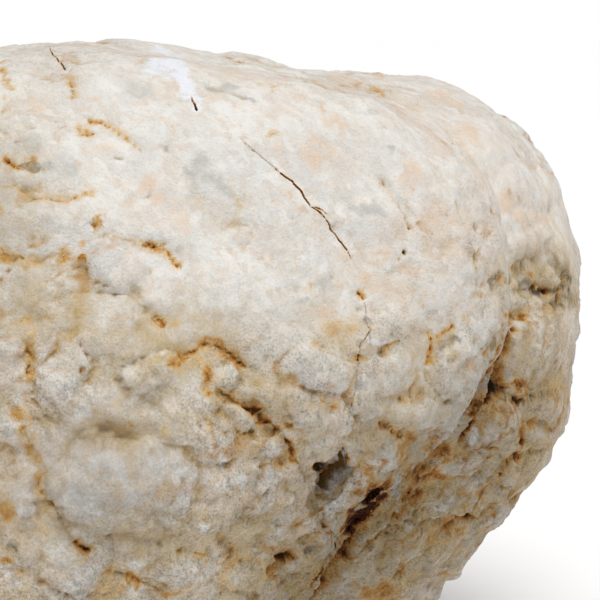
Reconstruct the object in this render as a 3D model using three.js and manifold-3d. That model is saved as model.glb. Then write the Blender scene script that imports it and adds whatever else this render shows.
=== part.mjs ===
// A whole, uncut calcite geode: one rounded nodule of pale stone, resting on its flattest side.
//
// Frame, in millimetres: X runs along the stone's length, Y from its broad front face to its back,
// Z up. The origin is under the middle of the stone, on the surface that it rests on.
//
// The nodule grew as two lobes. A broad mantle covers the front, the crown and the left end, and
// its lower right rim overhangs the body behind it, with a dark cleft between them. The stone is
// solid here: nothing of a geode's inner hollow shows on the outside of a closed nodule.

import * as THREE from "three";
import { mergeVertices } from "three/addons/utils/BufferGeometryUtils.js";
import { ImprovedNoise } from "three/addons/math/ImprovedNoise.js";
import Module from "manifold-3d";

const wasm = await Module();
wasm.setup();
const noise = new ImprovedNoise();

// The crust swings in and out by up to RIPPLE, in waves of these lengths.
const RIPPLE = 2.6;
const WAVES = [{ length: 26, share: 0.7 }, { length: 11, share: 0.4 }];

// The cleft under the mantle's rim, from the crown down to the lower front. Each station is a
// point on the cleft's middle line, and the width there.
const CLEFT = [
  { at: [41, -10, 101], width: 2.5 },
  { at: [50, -15, 92], width: 3 },
  { at: [56, -15, 80], width: 3 },
  { at: [55, -18, 69], width: 3.5 },
  { at: [51, -21, 60], width: 6 },
  { at: [43, -26, 52.5], width: 5 },
  { at: [36, -27, 46], width: 6 },
  { at: [31, -27, 39], width: 7 },
  { at: [25, -27, 30], width: 5 },
];
const CLEFT_SIDES = 8;

// A flake has broken out of the mantle's lower right and left a shallow pocket.
const POCKET = { at: [28, -38.5, 50], size: [2.8, 3.2, 4.2], detail: 4, turn: 0.5 };

const STONE = { color: 0xd9d0c1, roughness: 0.85, metalness: 0 };
const GROUND_SPAN = 400; // the block under the resting face, wider than the stone
const WELD = 1e-4; // points nearer than this are one point

// A lobe is a rounded block worn down by flats and raised by knolls. It is as wide to each side of
// its centre as `across` says, and as deep, high and low as the next three numbers say. Each flat
// faces a direction and lies at a reach from the centre. Each knoll rises over a direction, with a
// height and a spread in degrees; a negative height is a hollow.
const BODY = {
  centre: [0, 9, 57],
  size: { across: 74, deep: 49, up: 64, down: 61 },
  boxiness: 3,
  sharpness: 10,
  detail: 16,
  flats: [
    { faces: [0, 0, 1], reach: 50.5 },
    { faces: [0.72, 0, 0.69], reach: 80 },
    { faces: [0.1, -0.4, 0.9], reach: 54 },
    { faces: [0.6, -0.6, 0.5], reach: 67 },
    { faces: [0.72, -0.1, -0.69], reach: 65.5 },
    { faces: [-0.6, 0.1, -0.8], reach: 62 },
    { faces: [0.78, -0.63, 0], reach: 62 },
    { faces: [0.5, -0.7, -0.5], reach: 49 },
    { faces: [-0.65, 0.75, 0.2], reach: 57 },
    { faces: [0.1, 0.8, 0.6], reach: 56 },
    { faces: [0.5, 0.75, -0.4], reach: 60 },
    { faces: [-0.8, -0.1, 0.6], reach: 66 },
  ],
  knolls: [
    { towards: [0.9, -0.42, -0.05], height: 3.5, spread: 6 },
    { towards: [0.92, -0.27, 0.27], height: -1.6, spread: 4 },
    { towards: [0.5, 0.8, 0.2], height: 3, spread: 16 },
    { towards: [0.59, 0.09, 0.8], height: -3, spread: 5 },
    { towards: [-0.42, -0.1, 0.9], height: -3.6, spread: 13 },
  ],
  phase: 0.4,
};
const MANTLE = {
  centre: [-8, -10, 58],
  size: { across: 67.5, deep: 48, up: 54.5, down: 61 },
  boxiness: 3.1,
  sharpness: 14,
  detail: 17,
  flats: [
    { faces: [0.73, 0, 0.68], reach: 75 },
    { faces: [0.2, 0, 1], reach: 55.5 },
    { faces: [0.72, 0.25, -0.64], reach: 37.5 },
    { faces: [0.55, -0.75, -0.35], reach: 45 },
    { faces: [0.95, 0.2, 0.1], reach: 66 },
    { faces: [0.45, -0.85, 0.3], reach: 51 },
    { faces: [0, -0.75, 0.66], reach: 58 },
    { faces: [-0.5, -0.5, -0.7], reach: 60 },
    { faces: [-0.65, -0.75, 0.1], reach: 58 },
    { faces: [-0.8, 0.1, 0.6], reach: 67 },
    { faces: [-1, 0, 0], reach: 66 },
    { faces: [-0.6, 0.8, 0.1], reach: 52 },
  ],
  knolls: [
    { towards: [-0.3, -0.9, -0.3], height: 2, spread: 18 },
    { towards: [-0.35, -0.75, 0.55], height: -2, spread: 12 },
    { towards: [-0.32, -0.05, 0.95], height: -3.6, spread: 13 },
    { towards: [0.63, 0.33, 0.7], height: -2.5, spread: 6 },
    { towards: [0.94, -0.35, -0.05], height: 1.5, spread: 13 },
  ],
  phase: 1.7,
};

// Distance from a lobe's centre to its surface in a direction.
function reachOf(direction, { size, boxiness, sharpness, flats, knolls }) {
  const { x, y, z } = direction;
  const shares = [x / size.across, y / size.deep, z / (z > 0 ? size.up : size.down)];
  const block = shares.reduce((sum, share) => sum + Math.abs(share) ** boxiness, 0);
  let sum = block ** (sharpness / boxiness);
  for (const { faces, reach } of flats) {
    const along = direction.dot(new THREE.Vector3(...faces).normalize());
    if (along > 0) sum += (along / reach) ** sharpness;
  }
  let distance = sum ** (-1 / sharpness);
  for (const { towards, height, spread } of knolls) {
    const angle = direction.angleTo(new THREE.Vector3(...towards));
    const share = angle / THREE.MathUtils.degToRad(spread);
    distance += height * Math.exp(-share * share);
  }
  return distance;
}

// Broad waves of the crust at a point, between about -1 and 1.
function ripple(point, phase) {
  const waves = WAVES.map(({ length, share }) => {
    const { x, y, z } = point.clone().divideScalar(length);
    return share * noise.noise(x + phase, y, z);
  });
  return waves.reduce((sum, wave) => sum + wave, 0);
}

function lobeSolid(lobe) {
  const geometry = new THREE.IcosahedronGeometry(1, lobe.detail);
  const position = geometry.getAttribute("position");
  const centre = new THREE.Vector3(...lobe.centre);
  const point = new THREE.Vector3();
  for (let i = 0; i < position.count; i++) {
    const direction = new THREE.Vector3().fromBufferAttribute(position, i).normalize();
    point.copy(direction).multiplyScalar(reachOf(direction, lobe)).add(centre);
    point.addScaledVector(direction, RIPPLE * ripple(point, lobe.phase));
    position.setXYZ(i, point.x, point.y, point.z);
  }
  return solidOf(geometry);
}

function solidOf(geometry) {
  const bare = geometry.clone();
  bare.deleteAttribute("normal");
  bare.deleteAttribute("uv");
  const merged = mergeVertices(bare, WELD);
  const mesh = new wasm.Mesh({
    numProp: 3,
    vertProperties: merged.getAttribute("position").array,
    triVerts: new Uint32Array(merged.index.array),
  });
  return new wasm.Manifold(mesh);
}

function geometryOf(solid) {
  const mesh = solid.getMesh();
  const geometry = new THREE.BufferGeometry();
  geometry.setAttribute("position", new THREE.BufferAttribute(mesh.vertProperties, 3));
  geometry.setIndex(new THREE.BufferAttribute(mesh.triVerts, 1));
  geometry.computeVertexNormals();
  return geometry;
}

// What lies under the resting face is cut away, which leaves the stone one flat side to stand on.
function groundBlock() {
  const block = new THREE.BoxGeometry(GROUND_SPAN, GROUND_SPAN, GROUND_SPAN);
  return solidOf(block.translate(0, 0, -GROUND_SPAN / 2));
}

// The cleft is a chain of rounded links. Each link spans two stations and is as wide as they are.
function cleftSolid() {
  const links = CLEFT.slice(1).map((end, i) => linkSolid(CLEFT[i], end));
  return wasm.Manifold.union(links);
}

function linkSolid(start, end) {
  const ends = [start, end].map(({ at, width }) => {
    const ball = new THREE.SphereGeometry(width / 2, CLEFT_SIDES, CLEFT_SIDES / 2);
    return solidOf(ball.translate(...at));
  });
  return wasm.Manifold.hull(ends);
}

function pocketSolid() {
  const geometry = new THREE.IcosahedronGeometry(1, POCKET.detail);
  geometry.scale(...POCKET.size).rotateY(POCKET.turn).translate(...POCKET.at);
  return solidOf(geometry);
}

function stone() {
  const whole = lobeSolid(BODY)
    .add(lobeSolid(MANTLE))
    .subtract(groundBlock())
    .subtract(cleftSolid())
    .subtract(pocketSolid());
  const geometry = geometryOf(whole);
  geometry.computeBoundingBox();
  const middle = geometry.boundingBox.getCenter(new THREE.Vector3());
  geometry.translate(-middle.x, -middle.y, -geometry.boundingBox.min.z);
  const mesh = new THREE.Mesh(geometry, new THREE.MeshStandardMaterial(STONE));
  mesh.name = "geode";
  return mesh;
}

const part = new THREE.Group();
part.add(stone());
export default part;
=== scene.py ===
"""A whole, closed calcite geode: the fine surface, the stone's colours, the light and the camera.

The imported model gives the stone's form. This script takes a copy of it, refines the copy and wears
the crust into it: knobs and creases, chipped flakes, laminae under the rim, cracks, a broken pocket
and pits. The same steps leave numbers on every point, such as how stained it is, and the material
turns those and its own noise into colour.

Lengths are in millimetres up to the moment that a mesh is written, which is in metres. A seed is
the number that sets one noise apart from the others.
"""

import math

import bpy
import numpy as np
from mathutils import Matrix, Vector
from mathutils.bvhtree import BVHTree


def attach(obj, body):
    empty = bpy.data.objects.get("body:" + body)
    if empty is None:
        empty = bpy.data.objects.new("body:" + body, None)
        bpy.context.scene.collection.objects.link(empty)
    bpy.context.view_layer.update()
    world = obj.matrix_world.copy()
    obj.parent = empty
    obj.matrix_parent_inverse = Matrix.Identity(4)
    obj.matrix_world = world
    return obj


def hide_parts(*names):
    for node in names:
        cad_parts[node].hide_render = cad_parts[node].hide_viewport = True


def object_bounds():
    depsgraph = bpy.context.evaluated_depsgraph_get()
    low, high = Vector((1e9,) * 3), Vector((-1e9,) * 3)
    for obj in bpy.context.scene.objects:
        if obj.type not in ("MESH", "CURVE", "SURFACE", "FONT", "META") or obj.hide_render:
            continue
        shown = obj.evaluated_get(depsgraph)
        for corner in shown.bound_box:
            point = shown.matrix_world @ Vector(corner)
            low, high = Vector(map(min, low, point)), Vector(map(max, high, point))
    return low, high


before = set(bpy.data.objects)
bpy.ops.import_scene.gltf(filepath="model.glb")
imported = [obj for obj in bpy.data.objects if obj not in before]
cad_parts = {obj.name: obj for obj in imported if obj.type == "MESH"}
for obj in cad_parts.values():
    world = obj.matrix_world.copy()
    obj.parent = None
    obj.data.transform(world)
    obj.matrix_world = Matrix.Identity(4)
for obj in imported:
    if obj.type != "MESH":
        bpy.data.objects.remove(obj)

CAD_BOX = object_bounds()
MM = 0.001

# The camera: a close view of the right half of the front, from a little above.
LENS = 100.0
SENSOR = 36.0
CAMERA_RISE = math.radians(10)
CAMERA_AWAY = 267.0
AIM_RIGHT = 0.333  # of the way from the stone's middle to its right end
AIM_UP = 0.63  # of the way from the ground to the crown
PLATE_EDGE = 3.0  # what lies this little past the picture's edge still counts as seen

# The fine mesh: edge lengths.
VOXEL = 1.45
EDGE_SEEN = 0.72  # where the camera sees the stone
EDGE_UNSEEN = 1.5
EDGE_MARK = 0.44  # beside a seam
EDGE_GAP = 0.11  # in a crack
EDGE_RIM = 0.42  # along the rim of the mantle
EDGE_GROWTH = 0.45  # how much longer it gets with each millimetre away from a crack or seam
SPLIT_PAST = 1.35  # an edge is halved when it is this many times as long as it should be

# How high above the ground the crust starts to be rougher and darker in colour, partly dirt and
# partly painted shade, and where it is fully so.
LOW_STARTS, LOW_FULL = 92, 35

# The relief of the crust: sizes across, then heights.
SWELL_SIZE, FORM_SIZE, LUMP_SIZE, KNOT_SIZE = 20.0, 14.0, 8.0, 3.6
SLAB_SIZE, CHIP_SIZE, FLAKE_SIZE = 8.0, 5.0, 2.4
CREASE_SIZE, FINE_CREASE_SIZE = 13.0, 5.0
FORM_RISE, SWELL_RISE = 1.5, 0.7
LUMP_RISE, SLAB_RISE, KNOT_RISE, CHIP_RISE, FLAKE_RISE = 1.0, 0.9, 0.35, 0.5, 0.2
LAMINA_RISE, GRIT_RISE = 0.45, 0.7
CREASE_DEPTH, FINE_CREASE_DEPTH, HOLE_DEPTH = 0.6, 0.35, 0.4
EASED_ABOVE, EASED_TO = 0.9, 0.25  # relief higher than the first is worn down to this share
SHAPED_RISE = 0.85  # of the heights in the tables of lumps
CREASED_ABOVE = 0.95  # a lump that is higher than this has a crease round it
POCKET_DEPTH = 3.6
POCKET_REACH = 8.0  # all of it lies within this of its middle
LIP_DEPTH = 2.3  # how much further in the stone beyond the mantle lies along its rim
FOLD_DEPTH, FOLD_WIDTH = 0.45, 1.3  # of the fold that a crease lies in; the depth is a share
SHELTER_REACH = 7.0  # stone that stands over a point no further off than this shelters it
CAVITY_DEPTH, DELL_DEPTH = 0.25, 0.6  # a small hollow's and a wide one's, where they count as 1


# ------------------------------------------------------------
# Noise. Each function takes points in millimetres and gives one number for each.

def scatter(i, j, k, seed):
    """An even random number from 0 to 1 for each lattice cell."""
    h = i * 73856093 ^ j * 19349663 ^ k * 83492791 ^ seed * 268435399
    h = (h ^ (h >> 13)) * 1274126177 & 0xFFFFFFFF
    h = (h ^ (h >> 15)) * 2246822519 & 0xFFFFFFFF
    return ((h ^ (h >> 16)) & 0xFFFFFF) / float(0x1000000)


def around(cell, steps):
    """The lattice cells next to each cell: the step to each, and its three numbers."""
    for dx in steps:
        for dy in steps:
            for dz in steps:
                yield (dx, dy, dz), (cell[:, 0] + dx, cell[:, 1] + dy, cell[:, 2] + dz)


def waves(points, size, seed):
    """Smooth noise between about -1 and 1, whose lumps are about size across."""
    at = points / size
    cell = np.floor(at).astype(np.int64)
    part = at - cell
    ease = part * part * part * (part * (part * 6 - 15) + 10)
    total = np.zeros(len(points))
    for steps, corner in around(cell, (0, 1)):
        away = part - steps
        value = sum((scatter(*corner, seed * 3 + n) * 2 - 1) * away[:, n] for n in range(3))
        weight = 1.0
        for axis, step in enumerate(steps):
            weight = weight * (ease[:, axis] if step else 1 - ease[:, axis])
        total += weight * value
    return total * 1.6


def fractal(points, size, seed, octaves, fade):
    """Waves at several sizes, each half as large as the last and fade times as high."""
    total = np.zeros(len(points))
    for octave in range(octaves):
        total += fade**octave * waves(points, size / 2**octave, seed + 17 * octave)
    return total


def drift(points, size, reach, seed):
    """The points, each moved by up to about reach, so that what is drawn on them meanders."""
    moves = [waves(points, size, seed + axis) for axis in range(3)]
    return points + reach * np.stack(moves, axis=1)


def cells(points, size, seed):
    """Scattered seeds: distance to the nearest and the next, a number for the nearest, and the
    vector from it. Distances are in units of size."""
    at = points / size
    home = np.floor(at).astype(np.int64)
    near = np.full(len(points), np.inf)
    next_near = near.copy()
    tag = np.zeros(len(points))
    arm = np.zeros_like(points)
    for _, cell in around(home, (-1, 0, 1)):
        inside = [scatter(*cell, seed + n) for n in range(3)]
        away = at - (np.stack(cell, axis=1) + np.stack(inside, axis=1))
        far = np.linalg.norm(away, axis=1)
        closer = far < near
        next_near = np.where(closer, near, np.minimum(next_near, far))
        near = np.where(closer, far, near)
        tag = np.where(closer, scatter(*cell, seed + 5), tag)
        arm = np.where(closer[:, None], away, arm)
    return near, next_near, tag, arm


def rise(value, low, high):
    """0 at low, 1 at high, and a smooth step between them."""
    share = np.clip((value - low) / (high - low), 0, 1)
    return share * share * (3 - 2 * share)


def dip(value, width):
    """1 where value is 0, falling to 0 over a few widths."""
    return np.exp(-((value / width) ** 2))


def fading(share, least):
    """1 where share is 1, falling to least where it is 0."""
    return least + (1 - least) * share


def level(values):
    """The values moved so that their mean is 0, so that the stone keeps its size."""
    return values - values.mean()


def lift(values, index, least):
    """Raises the values at an index to at least the given ones."""
    values[index] = np.maximum(values[index], least)


# ------------------------------------------------------------
# The crust: a triangle mesh in millimetres that can be refined, pushed in and out, and read.

class Crust:
    def __init__(self, points, faces):
        self.points = points
        self.faces = faces
        self.traits = {}

    def edges(self):
        """Every edge once, and for each face the number of its three edges."""
        sides = np.stack([self.faces, np.roll(self.faces, -1, axis=1)], axis=2)
        sides = np.sort(sides.reshape(-1, 2), axis=1)
        keys = sides[:, 0] * len(self.points) + sides[:, 1]
        found, index = np.unique(keys, return_inverse=True)
        ends = np.stack([found // len(self.points), found % len(self.points)], axis=1)
        return ends, index.reshape(-1, 3)

    def normals(self):
        a, b, c = (self.points[self.faces[:, k]] for k in range(3))
        flat = np.repeat(np.cross(b - a, c - a), 3, axis=0)
        corners = self.faces.ravel()
        total = [np.bincount(corners, flat[:, n], len(self.points)) for n in range(3)]
        total = np.stack(total, axis=1)
        return total / np.linalg.norm(total, axis=1, keepdims=True)

    def blur(self, values, rounds):
        """Each point's value averaged with its neighbours', several times over."""
        ends, _ = self.edges()
        here, there = np.concatenate([ends, ends[:, ::-1]]).T
        count = np.bincount(here, minlength=len(self.points))
        flat = values.reshape(len(values), -1)
        for _ in range(rounds):
            near = [np.bincount(here, column[there], len(self.points)) / count for column in flat.T]
            flat = (flat + np.stack(near, axis=1)) / 2
        return flat.reshape(values.shape)

    def refine(self, wanted):
        """Halves each edge that is much longer than the edge length wanted at its ends."""
        ends, index = self.edges()
        length = np.linalg.norm(self.points[ends[:, 0]] - self.points[ends[:, 1]], axis=1)
        long = length > SPLIT_PAST * wanted[ends].mean(axis=1)
        number = np.full(len(ends), -1)
        number[long] = len(self.points) + np.arange(long.sum())
        self.points = np.vstack([self.points, self.points[ends[long]].mean(axis=1)])
        for name, values in self.traits.items():
            self.traits[name] = np.concatenate([values, values[ends[long]].mean(axis=1)])
        middle = number[index]
        cuts = (middle >= 0).sum(axis=1)
        made = [self.faces[cuts == 0]]
        for turn in range(3):
            corner = np.roll(self.faces, -turn, axis=1)
            m = np.roll(middle, -turn, axis=1)
            one = (cuts == 1) & (m[:, 0] >= 0)
            made += self._pieces(corner[one], m[one], ("a0c", "0bc"))
            two = (cuts == 2) & (m[:, 2] < 0)
            made += self._pieces(corner[two], m[two], ("0b1", "a01", "a1c"))
        three = cuts == 3
        made += self._pieces(self.faces[three], middle[three], ("a02", "0b1", "21c", "012"))
        self.faces = np.concatenate(made)

    @staticmethod
    def _pieces(corner, middle, recipes):
        """Faces whose corners are named a, b, c for corners and 0, 1, 2 for edge middles."""
        table = dict(zip("abc012", (*corner.T, *middle.T)))
        return [np.stack([table[name] for name in recipe], axis=1) for recipe in recipes]

    def push(self, height):
        """Moves each point out along its normal by height, and keeps it above the ground."""
        self.points = self.points + self.normals() * height[:, None]
        self.points[:, 2] = np.maximum(self.points[:, 2], 0)

    def tree(self):
        return BVHTree.FromPolygons(self.points.tolist(), self.faces.tolist())

    def shelter(self, reach):
        """How closed in each point is: 1 where the stone itself stands right over it."""
        tree = self.tree()
        normals = self.normals()
        starts = (self.points + 0.3 * normals).tolist()
        total = np.zeros(len(self.points))
        leans = ((0, 0, 0), (0, 0, 0.9), (0, -0.7, 0.6))
        for lean in leans:
            for index, (start, way) in enumerate(zip(starts, (normals + lean).tolist())):
                far = tree.ray_cast(start, way, reach)[3]
                if far is not None:
                    total[index] += (1 - far / reach) / len(leans)
        return self.blur(total, 2)


def rough_copy(node):
    """An even mesh of a CAD node, as a Crust."""
    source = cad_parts[node]
    copy = source.copy()
    copy.data = source.data.copy()
    bpy.context.scene.collection.objects.link(copy)
    copy.hide_viewport = False
    remesh = copy.modifiers.new("even", "REMESH")
    remesh.mode = "VOXEL"
    remesh.voxel_size = VOXEL * MM
    graph = bpy.context.evaluated_depsgraph_get()
    even = bpy.data.meshes.new_from_object(copy.evaluated_get(graph))
    even.calc_loop_triangles()
    points = np.empty(len(even.vertices) * 3)
    even.vertices.foreach_get("co", points)
    faces = np.empty(len(even.loop_triangles) * 3, dtype=np.int64)
    even.loop_triangles.foreach_get("vertices", faces)
    tree = BVHTree.FromObject(source, graph)
    bpy.data.objects.remove(copy)
    bpy.data.meshes.remove(even)
    crust = Crust(points.reshape(-1, 3), faces.reshape(-1, 3))
    eased = crust.blur(crust.points, 4)
    crust.points = np.array([tree.find_nearest(point)[0] for point in eased.tolist()]) / MM
    crust.points = crust.blur(crust.points, 1)
    return crust


# ------------------------------------------------------------
# The view. Marks are placed on a plate that stands across the camera's axis at its aim, as
# millimetres to the right of the aim and above it, and are thrown from the camera onto the stone.

class View:
    def __init__(self):
        right_end, crown = CAD_BOX[1].x / MM, CAD_BOX[1].z / MM
        self.aim = np.array([right_end * AIM_RIGHT, 0.0, crown * AIM_UP])
        self.back = np.array([0.0, -math.cos(CAMERA_RISE), math.sin(CAMERA_RISE)])
        self.right = np.array([1.0, 0.0, 0.0])
        self.up = np.array([0.0, math.sin(CAMERA_RISE), math.cos(CAMERA_RISE)])
        self.eye = self.aim + self.back * CAMERA_AWAY
        self.half = CAMERA_AWAY * SENSOR / 2 / LENS

    def plate(self, points):
        """Where points are seen on the plate."""
        from_eye = points - self.eye
        scale = CAMERA_AWAY / -(from_eye @ self.back)
        return np.stack([from_eye @ self.right * scale, from_eye @ self.up * scale], axis=1)

    def off_middle(self, points):
        """How far from the picture's middle points are seen, across or up, whichever is more."""
        return np.abs(self.plate(points)).max(axis=1)

    def throw(self, tree, spot):
        """The point of the stone that is seen at a spot of the plate, or None."""
        on_plate = self.aim + self.right * spot[0] + self.up * spot[1]
        hit = tree.ray_cast(Vector(self.eye), Vector(on_plate - self.eye))[0]
        return None if hit is None else np.array(hit)

    def throw_all(self, tree, rows):
        """Rows that begin with a spot of the plate, with the stone's point in its place. A row
        whose spot misses the stone is left out."""
        thrown = [(self.throw(tree, row[:2]), *row[2:]) for row in rows]
        return [row for row in thrown if row[0] is not None]


view = View()
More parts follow.
